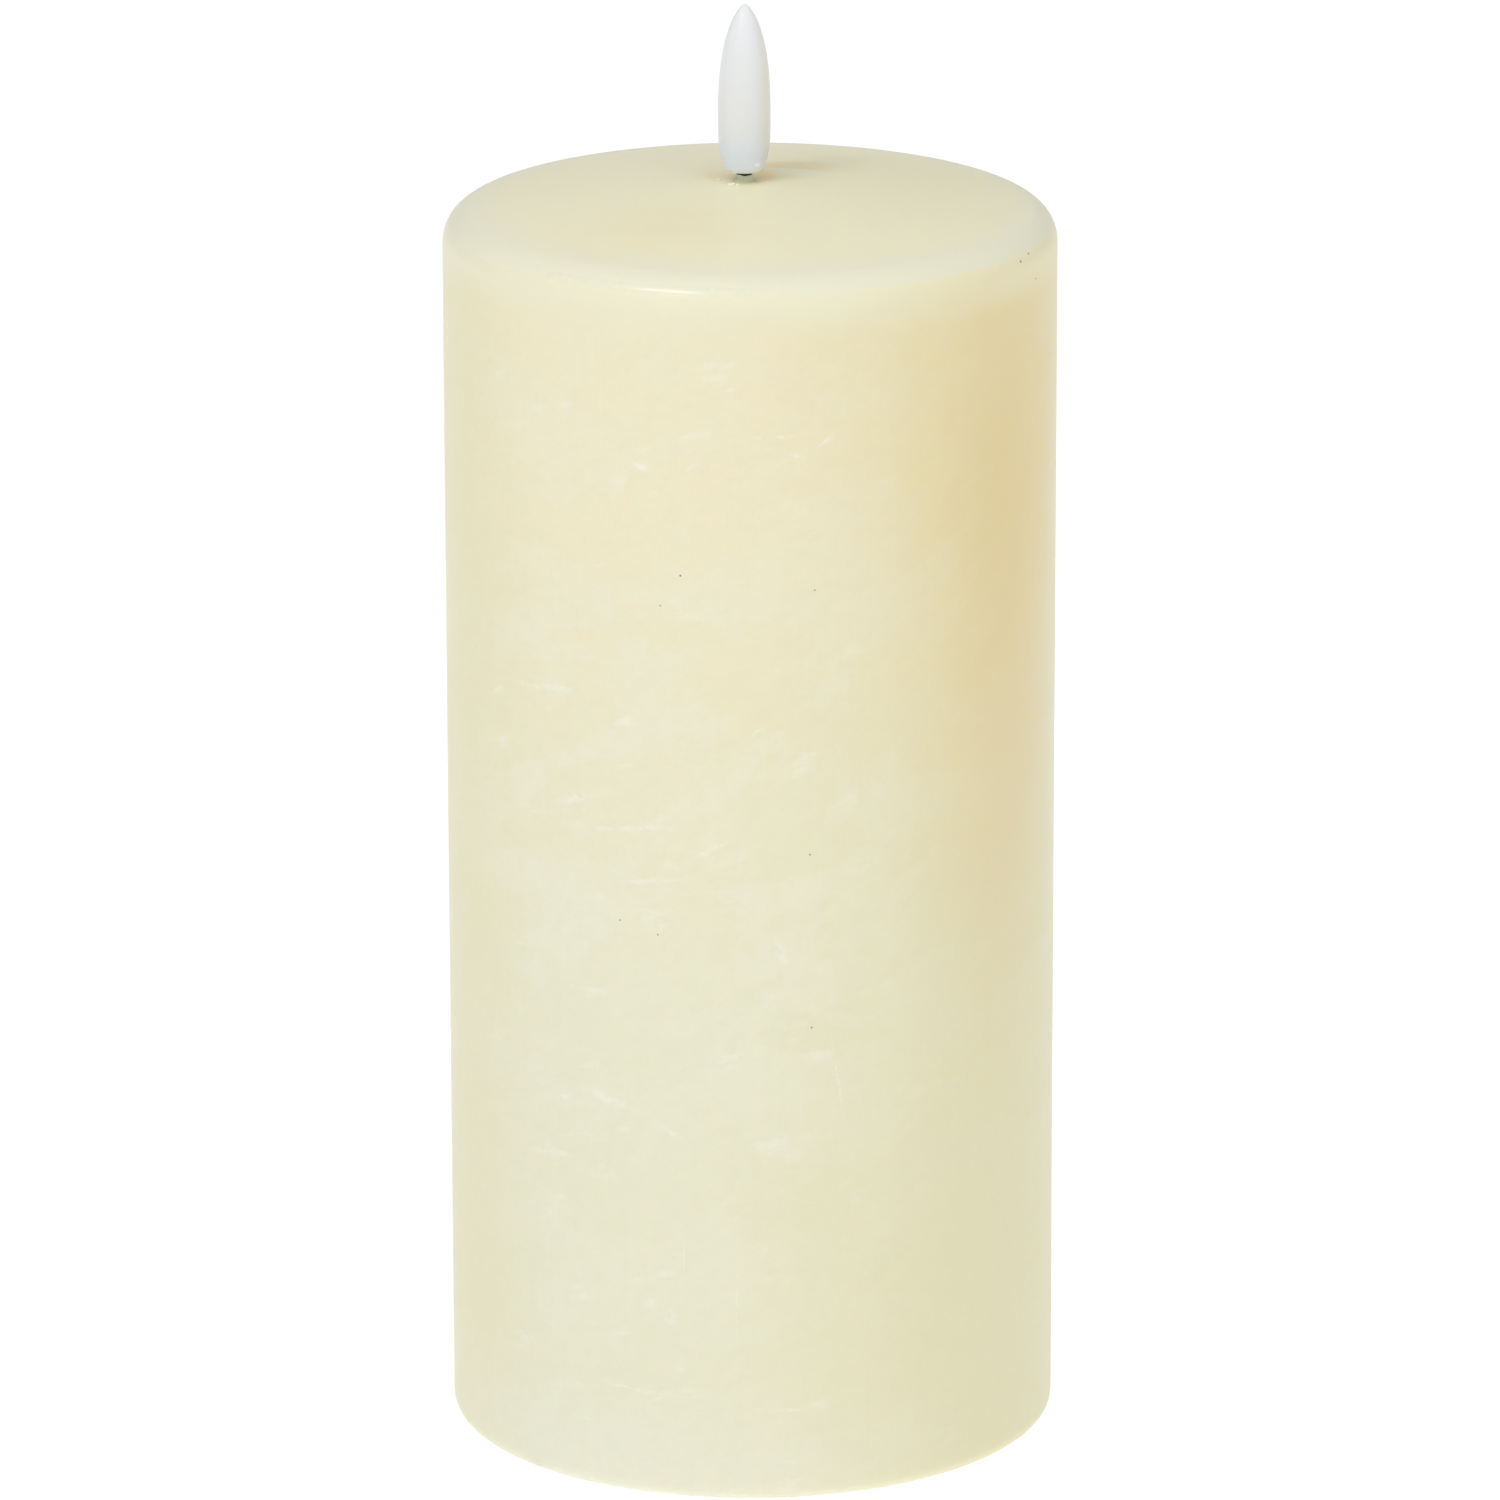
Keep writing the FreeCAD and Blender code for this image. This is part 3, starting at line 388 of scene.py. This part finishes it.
    def surface(self):
        """A fine unevenness, duller where the mould dragged, and a glossy stretch of the parting line at the
        left of the front."""
        near = self.ramp(abs(self.z - PARTING_Z - 0.1 * MM), 0.9 * MM, 0.3 * MM)
        polished = near * self.ramp(abs(self.arc + 13 * MM), 24 * MM, 8 * MM)
        patchy = self.ramp(self.cloud(1.0 * MM, 3.0, 0.7), 0.4, 0.6, 0.15, 0.75)
        self.paint("Coat Weight", polished * patchy)
        self.paint("Roughness", 0.3 + 0.12 * self.fine + 0.1 * self.dragged - 0.12 * polished)
        pores = self.cloud(0.9 * MM, 4.0, 0.6)
        self.relief(0.45 * self.fine + 0.15 * self.upright * self.wall + 0.4 * pores, 0.05 * MM)


def ivory_wax():
    """The pillar's wax, ivory and slightly translucent."""
    numbers = {"specular_ior_level": 0.3, "ior": 1.44, "subsurface_weight": 0.3, "subsurface_scale": 3 * MM}
    wax = CastWax("ivory_wax", coat_roughness=0.24, **numbers)
    wax.paint("Subsurface Radius", (1.0, 0.72, 0.42))
    wax.ivory()
    wax.frost()
    wax.flush()
    wax.mottle()
    wax.strokes()
    wax.streaks()
    wax.rim()
    wax.scuffs()
    wax.scorch_and_painted_halo()
    wax.grains()
    wax.paint("Base Color", wax.colour)
    wax.surface()
    return wax


def milky_flame():
    """Milk-white moulded plastic, cooler at its foot where the lamp inside shows, warmer on its right, with
    a worn gate mark, and its lip painted pale as painted light on an edge that sits in shade."""
    milk = Finish("milky_flame", subsurface_weight=0.25, subsurface_scale=2 * MM, ior=1.46)
    milk.paint("Subsurface Radius", (1.0, 0.95, 0.9))
    x, y, z = milk.axes()
    foot = milk.ramp(z + 1 * MM * milk.cloud(3 * MM), FLAME_LOW.z + 6.5 * MM, FLAME_LOW.z + 2.5 * MM)
    colour = milk.mix(foot, tint(234, 236, 239), tint(229, 237, 252))
    warm = milk.ramp(x, WICK_X + 1.2 * MM, WICK_X + 3.1 * MM)
    colour = milk.mix(warm * 0.7, colour, tint(232, 228, 214))
    away = milk.length(x - WICK_X - 1.5 * MM, y + 2.1 * MM, 1.8 * (z - FLAME_LOW.z - 1.2 * MM))
    worn = milk.ramp(away + 0.5 * MM * (milk.cloud(0.5 * MM) - 0.5), 0.55 * MM, 0.3 * MM)
    # painted light: the lowest edge of the flame painted nearly white, lifting the shade under it
    lip = milk.ramp(z, FLAME_LOW.z + 0.2 * MM, FLAME_LOW.z + 0.05 * MM)
    colour = milk.mix(milk.math("MAXIMUM", worn * 0.8, lip), colour, tint(252, 252, 250))
    veil = milk.cloud(1.6 * MM, 4.0, 0.6, milk.stretched((1.0, 1.0, 0.35)))
    colour = milk.mix(milk.ramp(veil, 0.35, 0.7) * 0.12, colour, tint(240, 243, 243))
    milk.paint("Base Color", colour)
    milk.paint("Roughness", 0.26 + 0.1 * veil)
    milk.relief(milk.cloud(0.5 * MM, 3.0), 0.01 * MM)
    return milk


def glue():
    """Clear glue gone faintly grey-green, glossy where it has run smooth."""
    clear = Finish("glue", ior=1.5, coat_weight=0.4, subsurface_weight=0.2, subsurface_scale=1 * MM)
    haze = clear.cloud(0.5 * MM, 3.0, 0.6)
    clear.paint("Base Color", clear.mix(haze, tint(212, 218, 200), tint(226, 228, 206)))
    clear.paint("Roughness", 0.2 + 0.25 * haze)
    clear.relief(haze, 0.02 * MM)
    return clear


def moulded(name, colour, shade, grain=0.35 * MM, **numbers):
    """Spark-textured moulded plastic: a fine even grain, faint flow clouds and a little handling grime."""
    plastic = Finish(name, **numbers)
    flow = plastic.cloud(14 * MM, 3.0, 0.5)
    spark = plastic.cloud(grain, 2.0, 0.5)
    tone = plastic.mix(plastic.ramp(flow, 0.35, 0.7) * 0.5, colour, shade)
    plastic.paint("Base Color", plastic.mix(plastic.ramp(spark, 0.6, 0.8) * 0.2, tone, shade))
    plastic.paint("Roughness", 0.4 + 0.15 * flow + 0.1 * spark)
    plastic.relief(spark, 0.02 * MM)
    return plastic


def metal(name, colour, shade, along=(1.0, 1.0, 1.0)):
    """Plated metal: fine lines along the way it was drawn or rolled, and a thin uneven tarnish."""
    plate = Finish(name, metallic=1.0)
    lines = plate.cloud(0.3 * MM, 3.0, 0.6, plate.stretched(along))
    tarnish = plate.cloud(3 * MM, 4.0, 0.6)
    plate.paint("Base Color", plate.mix(plate.ramp(tarnish, 0.4, 0.75), colour, shade))
    plate.paint("Roughness", 0.22 + 0.16 * lines + 0.14 * tarnish)
    plate.relief(lines, 0.004 * MM)
    return plate


def insulation(name, colour, shade):
    """Soft extruded insulation: satin, with faint rubbing marks."""
    sleeve = Finish(name, ior=1.5)
    rub = sleeve.cloud(1.2 * MM, 4.0, 0.6)
    sleeve.paint("Base Color", sleeve.mix(sleeve.ramp(rub, 0.4, 0.8) * 0.5, colour, shade))
    sleeve.paint("Roughness", 0.36 + 0.2 * rub)
    sleeve.relief(sleeve.cloud(0.25 * MM, 2.0), 0.006 * MM)
    return sleeve


FINISHES = {
    "ivory_wax": ivory_wax(),
    "milky_flame": milky_flame(),
    "black_sleeve": insulation("black_sleeve", tint(24, 22, 20), tint(52, 48, 42)),
    "clear_epoxy": moulded("clear_epoxy", tint(236, 226, 190), tint(225, 210, 160), coat_weight=0.5),
    "tinned_wire": metal("tinned_wire", tint(205, 205, 203), tint(160, 158, 152), (1.0, 1.0, 0.05)),
    "collar_plastic": moulded("collar_plastic", tint(228, 224, 208), tint(214, 208, 188)),
    "ivory_abs": moulded("ivory_abs", tint(218, 212, 190), tint(202, 194, 168)),
    "cover_abs": moulded("cover_abs", tint(230, 226, 208), tint(216, 210, 190)),
    "zinc_screw": metal("zinc_screw", tint(190, 192, 194), tint(140, 140, 136)),
    "pin_steel": metal("pin_steel", tint(190, 190, 192), tint(130, 128, 124), (0.05, 1.0, 1.0)),
    "cell_jacket": moulded("cell_jacket", tint(60, 63, 68), tint(40, 42, 46), coat_weight=0.6),
    "nickel_plate": metal("nickel_plate", tint(214, 210, 202), tint(170, 162, 148), (1.0, 1.0, 0.1)),
    "spring_wire": metal("spring_wire", tint(210, 207, 200), tint(158, 150, 138)),
    "phenolic": moulded("phenolic", tint(110, 74, 46), tint(84, 54, 32)),
    "switch_steel": metal("switch_steel", tint(204, 204, 202), tint(150, 148, 142), (0.1, 1.0, 1.0)),
    "knob_black": moulded("knob_black", tint(30, 30, 31), tint(46, 46, 48)),
    "board_laminate": moulded("board_laminate", tint(40, 110, 66), tint(30, 90, 52), coat_weight=0.4),
    "chip_epoxy": moulded("chip_epoxy", tint(34, 34, 35), tint(52, 52, 54)),
    "crystal_metal": metal("crystal_metal", tint(208, 208, 208), tint(160, 158, 154)),
    "capacitor_sleeve": moulded("capacitor_sleeve", tint(42, 50, 92), tint(30, 36, 70), coat_weight=0.4),
    "chip_ceramic": moulded("chip_ceramic", tint(60, 60, 62), tint(90, 88, 84)),
    "red_pvc": insulation("red_pvc", tint(190, 36, 28), tint(150, 26, 20)),
    "black_pvc": insulation("black_pvc", tint(30, 30, 31), tint(52, 50, 48)),
    "yellow_pvc": insulation("yellow_pvc", tint(224, 186, 40), tint(196, 156, 24)),
    "white_pvc": insulation("white_pvc", tint(232, 232, 228), tint(210, 208, 200)),
    "blue_pvc": insulation("blue_pvc", tint(40, 84, 168), tint(28, 62, 130)),
}
CRUMB_WAX = moulded("pale_crumb", tint(255, 252, 236), tint(246, 240, 214), 0.2 * MM)
GLUE = glue()


# ---------------------------------------------------------------- shapes


def arc_points(centre, radius, start, end, count):
    """Points on a circle in a plane, from one angle to the other, both in radians."""
    turn = np.linspace(start, end, count)
    return np.stack([centre[0] + radius * np.cos(turn), centre[1] + radius * np.sin(turn)], 1)


def straight(start, end, count):
    """Points evenly along a straight line, without its first and last."""
    share = np.linspace(0, 1, count + 2)[1:-1, None]
    return np.array(start) * (1 - share) + np.array(end) * share


def turned(radius, height, turn, middle=0.0):
    """A grid of points turned round an upright axis that stands at middle along x."""
    x, y = middle + radius * np.cos(turn), radius * np.sin(turn)
    return np.stack(np.broadcast_arrays(x, y, height), -1)


def skin(grid, tips=None):
    """A closed skin over a grid of points (row, column, xyz): the points and the faces, which point out.
    Columns always meet round the back. Rows meet too, or each end is closed by a fan to its tip."""
    rows, columns = grid.shape[:2]
    index = np.arange(rows * columns).reshape(rows, columns)
    index = np.concatenate([index, index[:, :1]], 1)
    if tips is None:
        index = np.concatenate([index, index[:1]], 0)
    quads = np.stack([index[:-1, :-1], index[:-1, 1:], index[1:, 1:], index[1:, :-1]], -1).reshape(-1, 4)
    points, faces = grid.reshape(-1, 3), quads.tolist()
    if tips is not None:
        points = np.concatenate([points, np.array(tips)])
        hub = np.full(columns, rows * columns)
        faces += np.stack([hub, index[0, 1:], index[0, :-1]], -1).tolist()
        faces += np.stack([hub + 1, index[-1, :-1], index[-1, 1:]], -1).tolist()
    # the sign of the volume inside says whether the faces point out: each quad makes two tetrahedra
    first, second, third, fourth = points[quads].swapaxes(0, 1)
    inside = np.sum(first * np.cross(second - first, third - first))
    inside += np.sum(first * np.cross(third - first, fourth - first))
    return points, [face[::-1] for face in faces] if inside < 0 else faces


def assemble(name, skins, slot, body, replaces=(), finish=None):
    """Makes one piece from closed skins and puts it in the scene: it rides on the body and replaces the
    nodes named. Its finish is the slot's, unless another is given."""
    points, faces = [], []
    for skin_points, skin_faces in skins:
        start = sum(map(len, points))
        points.append(skin_points)
        faces += [[start + corner for corner in face] for face in skin_faces]
    mesh = bpy.data.meshes.new(name)
    mesh.from_pydata(np.concatenate(points), [], faces)
    mesh.shade_smooth()
    mesh.materials.append((finish or FINISHES[slot]).material)
    piece = bpy.data.objects.new(name, mesh)
    bpy.context.scene.collection.objects.link(piece)
    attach(piece, body)
    if replaces:
        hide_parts(*replaces)


def ripple(seed, turn, height):
    """A gentle unevenness between about -1 and 1: a sum of seven waves that close round the pillar, with
    seeded phases and slants, each shorter than the one before and lower in proportion."""
    draw = np.random.default_rng(seed)
    total = np.zeros(np.broadcast(turn, height).shape)
    for wave in range(1, 8):
        phase, slant = draw.uniform(0, 2 * math.pi), draw.uniform(-40, 40) * wave
        total += np.sin(wave * turn + slant * height + phase) / wave
    return total / 1.6


def parting_bead(rise):
    """How far the shoulder stands proud, by the angle up it: a bead along the parting line, and below it a
    groove and a second, fainter bead."""
    bead = 0
    for height, above, width in ((0.013, 0.04, 0.07), (-0.012, -0.1, 0.05), (0.005, -0.3, 0.05)):
        bead = bead + height * MM * np.exp(-(((rise - PARTING_RISE - above) / width) ** 2))
    return bead


def wax_outside(hole):
    """The outer profile, as radius and height: a lip rolled into the wick's hole, the dome, the shoulder,
    the wall and the rounded foot."""
    lip, foot_r = 0.35 * MM, 2 * MM
    lean = math.atan2(WAX_R - SHOULDER_R, WALL_TOP - DOME_CENTRE)
    near, far = np.geomspace(hole + lip, 6 * MM, 16), np.linspace(6 * MM, DOME_R * math.sin(lean), 46)
    dome_r = np.concatenate([near, far[1:]])
    dome = np.stack([dome_r, DOME_CENTRE + np.sqrt(DOME_R**2 - dome_r**2)], 1)
    rolled = arc_points((hole + lip, dome[0, 1] - lip), lip, math.pi, math.pi / 2, 5)[:-1]
    rise = np.linspace(math.pi / 2 - lean, 0, 44)[1:]
    rounded = (SHOULDER_R + parting_bead(rise))[:, None] * np.stack([np.cos(rise), np.sin(rise)], 1)
    shoulder = np.array((WAX_R - SHOULDER_R, WALL_TOP)) + rounded
    wall = straight((WAX_R, WALL_TOP), (WAX_R, foot_r), 90)
    foot = arc_points((WAX_R - foot_r, foot_r), foot_r, 0, -math.pi / 2, 9)
    return np.concatenate([rolled, dome, shoulder, wall, foot])


def wax_inside(hole):
    """The rest of the profile: the flat ring that the wax stands on, the bay of the battery module, the
    hollow with its coned roof, and the wick's hole. Each sharp corner is two points a little apart."""
    bay_r, bay_top = 33.1 * MM, 36 * MM
    hollow_r, roof_r, roof = 31.5 * MM, 22 * MM, 146 * MM
    crisp = 0.1 * MM
    return [
        (35 * MM, 0),
        (bay_r + 3 * crisp, 0),
        (bay_r, 3 * crisp),
        (bay_r, 18 * MM),
        (bay_r, bay_top - crisp),
        (bay_r - crisp, bay_top),
        (hollow_r + crisp, bay_top),
        (hollow_r, bay_top + crisp),
        (hollow_r, 90 * MM),
        (hollow_r, 139 * MM - crisp),
        (hollow_r - crisp, 139 * MM + crisp),
        (roof_r + crisp, roof - crisp),
        (roof_r - crisp, roof),
        (10 * MM, roof),
        (hole + crisp, roof),
        (hole, roof + crisp),
        (hole, 151 * MM),
    ]


def wax_pillar():
    """The profile turned round the pillar's axis. Near the wick its circles slide over to the wick's own
    axis, and the outer skin moves in and out by a ripple of a few hundredths of a millimetre."""
    hole = 1.12 * WICK_R
    outside, inside = wax_outside(hole), wax_inside(hole)
    profile = np.concatenate([outside, inside])
    radius, height = profile[:, :1], profile[:, 1:]
    turn = np.linspace(0, 2 * math.pi, 240, endpoint=False)
    outer = (radius > 3 * MM) & (np.arange(len(profile))[:, None] < len(outside))
    swell = np.where(outer, 0.04 * MM * ripple(3, turn[None], height), 0)
    swell = swell * np.clip((radius - 3 * MM) / (20 * MM), 0, 1)
    slide = WICK_X * np.clip(1 - (radius - 2 * MM) / (14 * MM), 0, 1) ** 2
    grid = turned(radius + swell, height, turn, slide)
    assemble("wax_pillar", [skin(grid)], "ivory_wax", "candle", ["wax_body"])


def flame_bullet():
    """The flame: a profile turned round the wick's axis. Below its widest place the radius falls off as a
    power of the way down, with a quarter of an ellipse rounding the foot; above, it closes to the tip as a
    power of one less a power of the way up. It leans very faintly towards its tip, and a small gate mark
    stands proud near its foot."""
    low, high = FLAME_LOW.z, FLAME_HIGH.z
    widest = 0.27 * (high - low)
    most = (FLAME_HIGH.x - FLAME_LOW.x) / 2
    height = (high - low) * (1 - np.cos(np.linspace(0, math.pi, 111)[:-1, None])) / 2
    down = np.clip(1 - height / widest, 0, 1)
    up = np.clip((height - widest) / (high - low - widest), 0, 1)
    corner = np.clip(1 - height / (0.55 * MM), 0, 1)
    radius = (most - 0.86 * MM * down**2.3) * (1 - up**2.96) ** 0.7
    radius -= 0.6 * MM * (1 - np.sqrt(1 - corner**2))
    turn = np.linspace(0, 2 * math.pi, 96, endpoint=False)
    gate_turn, gate_height, gate_proud = math.radians(305), 1.15 * MM, 0.13 * MM
    gate = np.exp(-(((turn - gate_turn) / 0.18) ** 4) - ((height - gate_height) / (0.22 * MM)) ** 4)
    lean = 0.1 * MM
    middle = WICK_X + lean * (height / (20 * MM)) ** 2
    grid = turned(radius + gate_proud * gate, low + height, turn, middle)
    tips = [(WICK_X, 0, low), (WICK_X + lean, 0, high)]
    assemble("flame_bullet", [skin(grid, tips)], "milky_flame", "candle", ["flame_shell"])


def dome_height(x, y):
    """The height of the domed top over a point: a sphere's."""
    return DOME_CENTRE + math.sqrt(DOME_R**2 - x * x - y * y)


def wick_glaze():
    """Clear glue on the lowest stretch of the wick: a thin skin over it that flares out in a hollow curve
    where it meets the wax, its upper edge wavering a little round the wick."""
    turn = np.linspace(0, 2 * math.pi, 40, endpoint=False)
    root = dome_height(WICK_X, 0) - 0.25 * MM
    share = np.linspace(0, 1, 14)[:, None]
    height = root + share * (1.07 * MM + 0.05 * MM * np.sin(2 * turn + 0.6) + 0.03 * MM * np.sin(5 * turn))
    radius = WICK_R + 0.07 * MM + 0.6 * MM * (1 - share) ** 4
    inner = np.full((2, 1), WICK_R - 0.12 * MM)
    radius = np.concatenate([radius, inner])
    height = np.concatenate([height, height[-1:] + 0.02 * MM, height[:1]])
    grid = turned(radius, height, turn, WICK_X)
    assemble("wick_glaze", [skin(grid)], "clear_epoxy", "candle", finish=GLUE)


def wax_crumb(name, seed, x, y, size, bearing):
    """A crumb of wax lying on the dome: a sphere stretched along its bearing and flattened, whose radius
    is roughened by a seeded ripple. Its place and size are in millimetres."""
    turn = np.linspace(0, 2 * math.pi, 14, endpoint=False)
    fall = np.linspace(0, math.pi, 9)[1:-1, None]
    bump = 1 + 0.22 * ripple(seed, turn[None], fall * 0.02)
    along, over, up = np.array(size) * MM / 2
    flat_x = along * bump * np.sin(fall) * np.cos(turn)
    flat_y = over * bump * np.sin(fall) * np.sin(turn)
    cos, sin = math.cos(math.radians(bearing)), math.sin(math.radians(bearing))
    grid = np.stack([flat_x * cos - flat_y * sin, flat_x * sin + flat_y * cos, up * bump * np.cos(fall)], -1)
    middle = np.array((x * MM, y * MM, dome_height(x * MM, y * MM) + 0.4 * up))
    tips = [middle + (0, 0, up), middle - (0, 0, up)]
    assemble(name, [skin(middle + grid, tips)], "ivory_wax", "candle", finish=CRUMB_WAX)


def ridge(path, face, width, height, closed=False):
    """A half-round ridge moulded on a downward face: a half ellipse carried along a flat path, its back sunk
    a little into the face. An open one narrows to nothing at both ends as a semicircle does. The path,
    width and height are in millimetres."""
    path = np.array(path, float) * MM
    if closed:
        ahead = np.roll(path, -1, 0) - np.roll(path, 1, 0)
        share = np.ones(len(path))
    else:
        ahead = np.gradient(path, axis=0)
        reach = np.concatenate([[0], np.cumsum(np.hypot(*np.diff(path, axis=0).T))])
        end = np.clip(np.minimum(reach, reach[-1] - reach) / (width * MM / 2), 0, 1)
        share = np.sqrt(1 - (1 - end) ** 2)
    ahead /= np.hypot(*ahead.T)[:, None]
    side = np.stack([-ahead[:, 1], ahead[:, 0]], 1)
    turn = np.linspace(0, math.pi, 9)
    narrow, sunk = 0.9, 0.15
    out = np.concatenate([np.cos(turn), [-narrow, narrow]]) * width / 2 * MM
    down = np.concatenate([np.sin(turn) * height, [-sunk, -sunk]]) * MM
    flat = path[:, None] + side[:, None] * (out * share[:, None])[..., None]
    depth = np.where(down > 0, down * share[:, None], down)
    grid = np.concatenate([flat, (face - depth)[..., None]], -1)
    if closed:
        return skin(grid)
    behind = face + sunk / 3 * MM
    return skin(grid[1:-1], [(*path[0], behind), (*path[-1], behind)])


def bar_path(start, end):
    """Points along a straight bar, close together at its ends, in the units of the ends."""
    share = (1 - np.cos(np.linspace(0, math.pi, 24))) / 2
    return np.array(start) * (1 - share[:, None]) + np.array(end) * share[:, None]


def ring_path(x, y, radius):
    """Points round a ring, in the units of its radius."""
    count = 40
    return arc_points((x, y), radius, 0, 2 * math.pi * (1 - 1 / count), count)


def door_grips():
    """Five finger ridges on the battery door, each longer than the one before."""
    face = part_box("battery_door")[0].z
    rows = zip((1, 3, 5, 7, 9), (3, 4.5, 6, 7, 7.5))
    skins = [ridge(bar_path((-half, y), (half, y)), face, 0.7, 0.28) for y, half in rows]
    assemble("door_grips", skins, "ivory_abs", "door")


def switch_marks():
    """Three raised marks beside the switch, one for each place of its knob: a ring for off, a bar for on and
    a small clock face for the timer."""
    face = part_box("base_tray")[0].z
    knob_low, knob_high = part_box("switch_knob")
    knob_x, y = (knob_low.x + knob_high.x) / 2 / MM, knob_high.y / MM + 4.2
    joints = {joint["name"]: joint for joint in frame["record"]["behaviour"]["joints"]}
    step = joints["switch_slide"]["range_m"][1] / 2 / MM
    off, on, timer = (knob_x + shift * (step + 0.5) for shift in (0, 1, 2))
    height = 0.3
    skins = [
        ridge(ring_path(off, y, 0.8), face, 0.36, height, closed=True),
        ridge(bar_path((on, y - 1), (on, y + 1)), face, 0.38, height),
        ridge(ring_path(timer, y, 0.95), face, 0.34, height, closed=True),
        ridge(bar_path((timer, y - 0.1), (timer, y + 0.65)), face, 0.26, height),
        ridge(bar_path((timer - 0.1, y), (timer + 0.5, y)), face, 0.26, height),
    ]
    assemble("switch_marks", skins, "ivory_abs", "candle")


wax_pillar()
flame_bullet()
wick_glaze()
door_grips()
switch_marks()
wax_crumb("wax_crumb_left", 5, -3.8, 0.5, (0.5, 0.4, 0.25), 20)
wax_crumb("wax_crumb_front", 8, -2.3, -2.1, (1.1, 0.45, 0.3), 8)
wax_crumb("wax_crumb_near", 9, -1.5, -2.5, (0.5, 0.4, 0.25), -30)

for row in frame["record"]["subparts"]:
    node = frame["nodes"][row["node"]]
    node.data.materials.clear()
    node.data.materials.append(FINISHES[row["material_slot"]].material)


# ---------------------------------------------------------------- studio


def paper_floor():
    """A wide sheet of white paper, seen only from above, that glows a little like a lit sweep."""
    paper = Finish("paper_floor", roughness=0.7)
    fibre = paper.cloud(4 * MM, 3.0)
    paper.paint("Base Color", paper.mix(fibre, tint(172, 172, 172), tint(168, 168, 168)))
    paper.paint("Emission Color", (1.0, 1.0, 1.0, 1.0))
    paper.paint("Emission Strength", 0.8)
    tree = paper.tree
    through = tree.nodes.new("ShaderNodeBsdfTransparent")
    back = paper.node("ShaderNodeNewGeometry", output="Backfacing")
    chosen = tree.nodes.new("ShaderNodeMixShader")
    tree.links.new(back.socket, chosen.inputs[0])
    tree.links.new(paper.shader.outputs[0], chosen.inputs[1])
    tree.links.new(through.outputs[0], chosen.inputs[2])
    tree.links.new(chosen.outputs[0], tree.nodes["Material Output"].inputs["Surface"])
    half = 6.0
    corners = [(x * half, y * half, WAX_LOW.z) for x, y in ((-1, -1), (1, -1), (1, 1), (-1, 1))]
    mesh = bpy.data.meshes.new("floor")
    mesh.from_pydata(corners, [], [(0, 1, 2, 3)])
    mesh.materials.append(paper.material)
    floor = bpy.data.objects.new("floor", mesh)
    bpy.context.scene.collection.objects.link(floor)


def softbox(name, bearing, elevation, distance, width, height, power, glint=True):
    """A flat soft lamp at a bearing (0 is the front, positive to the right) that faces the middle of the
    candle. Without glint it lights the candle but doesn't shine back from it."""
    lamp = bpy.data.lights.new(name, "AREA")
    lamp.shape = "RECTANGLE"
    lamp.size, lamp.size_y, lamp.energy = width, height, power
    turn, rise = math.radians(bearing), math.radians(elevation)
    back = np.array((math.sin(turn) * math.cos(rise), -math.cos(turn) * math.cos(rise), math.sin(rise)))
    middle = np.array((0, 0, 90 * MM))
    stand = bpy.data.objects.new(name, lamp)
    stand.visible_glossy = glint
    stand.matrix_world = Matrix.Translation(middle + distance * back) @ (
        Matrix.Rotation(turn, 4, "Z") @ Matrix.Rotation(math.pi / 2 - rise, 4, "X")
    )
    bpy.context.scene.collection.objects.link(stand)


def white_tent():
    """A soft white surround that looks brighter than the light it sheds, as an overexposed backdrop does."""
    world = bpy.data.worlds.new("white_tent")
    world.use_nodes = True
    tent = Nodes(world.node_tree)
    seen = tent.node("ShaderNodeLightPath", output="Is Camera Ray")
    shed = 0.455
    glow = world.node_tree.nodes["Background"]
    glow.inputs["Color"].default_value = (1.0, 1.0, 1.0, 1.0)
    tent.feed(glow.inputs["Strength"], shed + (1 - shed) * seen)
    bpy.context.scene.world = world


def long_lens():
    """A long lens a little above the candle, looking slightly down at it."""
    lens = bpy.data.cameras.new("long_lens")
    lens.sensor_width = 36.0
    lens.lens = 258.02
    lens.clip_start, lens.clip_end = 0.05, 40.0
    pitch, roll, away = math.radians(16.406), -0.00196, 1.32919
    aim = np.array((-0.141 * MM, 0.0, 85.104 * MM))
    camera = bpy.data.objects.new("long_lens", lens)
    camera.matrix_world = (
        Matrix.Translation(aim + away * np.array((0.0, -math.cos(pitch), math.sin(pitch))))
        @ Matrix.Rotation(math.pi / 2 - pitch, 4, "X")
        @ Matrix.Rotation(roll, 4, "Z")
    )
    bpy.context.scene.collection.objects.link(camera)
    bpy.context.scene.camera = camera


paper_floor()
white_tent()
# bearing and elevation in degrees, distance, width and height in metres, and watts
softbox("key_strip", -38, 48, 1.1, 0.3, 0.045, 1.6)
softbox("front_fill", 28, 14, 2.2, 1.6, 1.6, 2.6)
softbox("overhead", -4, 70, 1.2, 1.5, 1.0, 6.0, glint=False)
long_lens()
bpy.context.scene.view_settings.view_transform = "Standard"
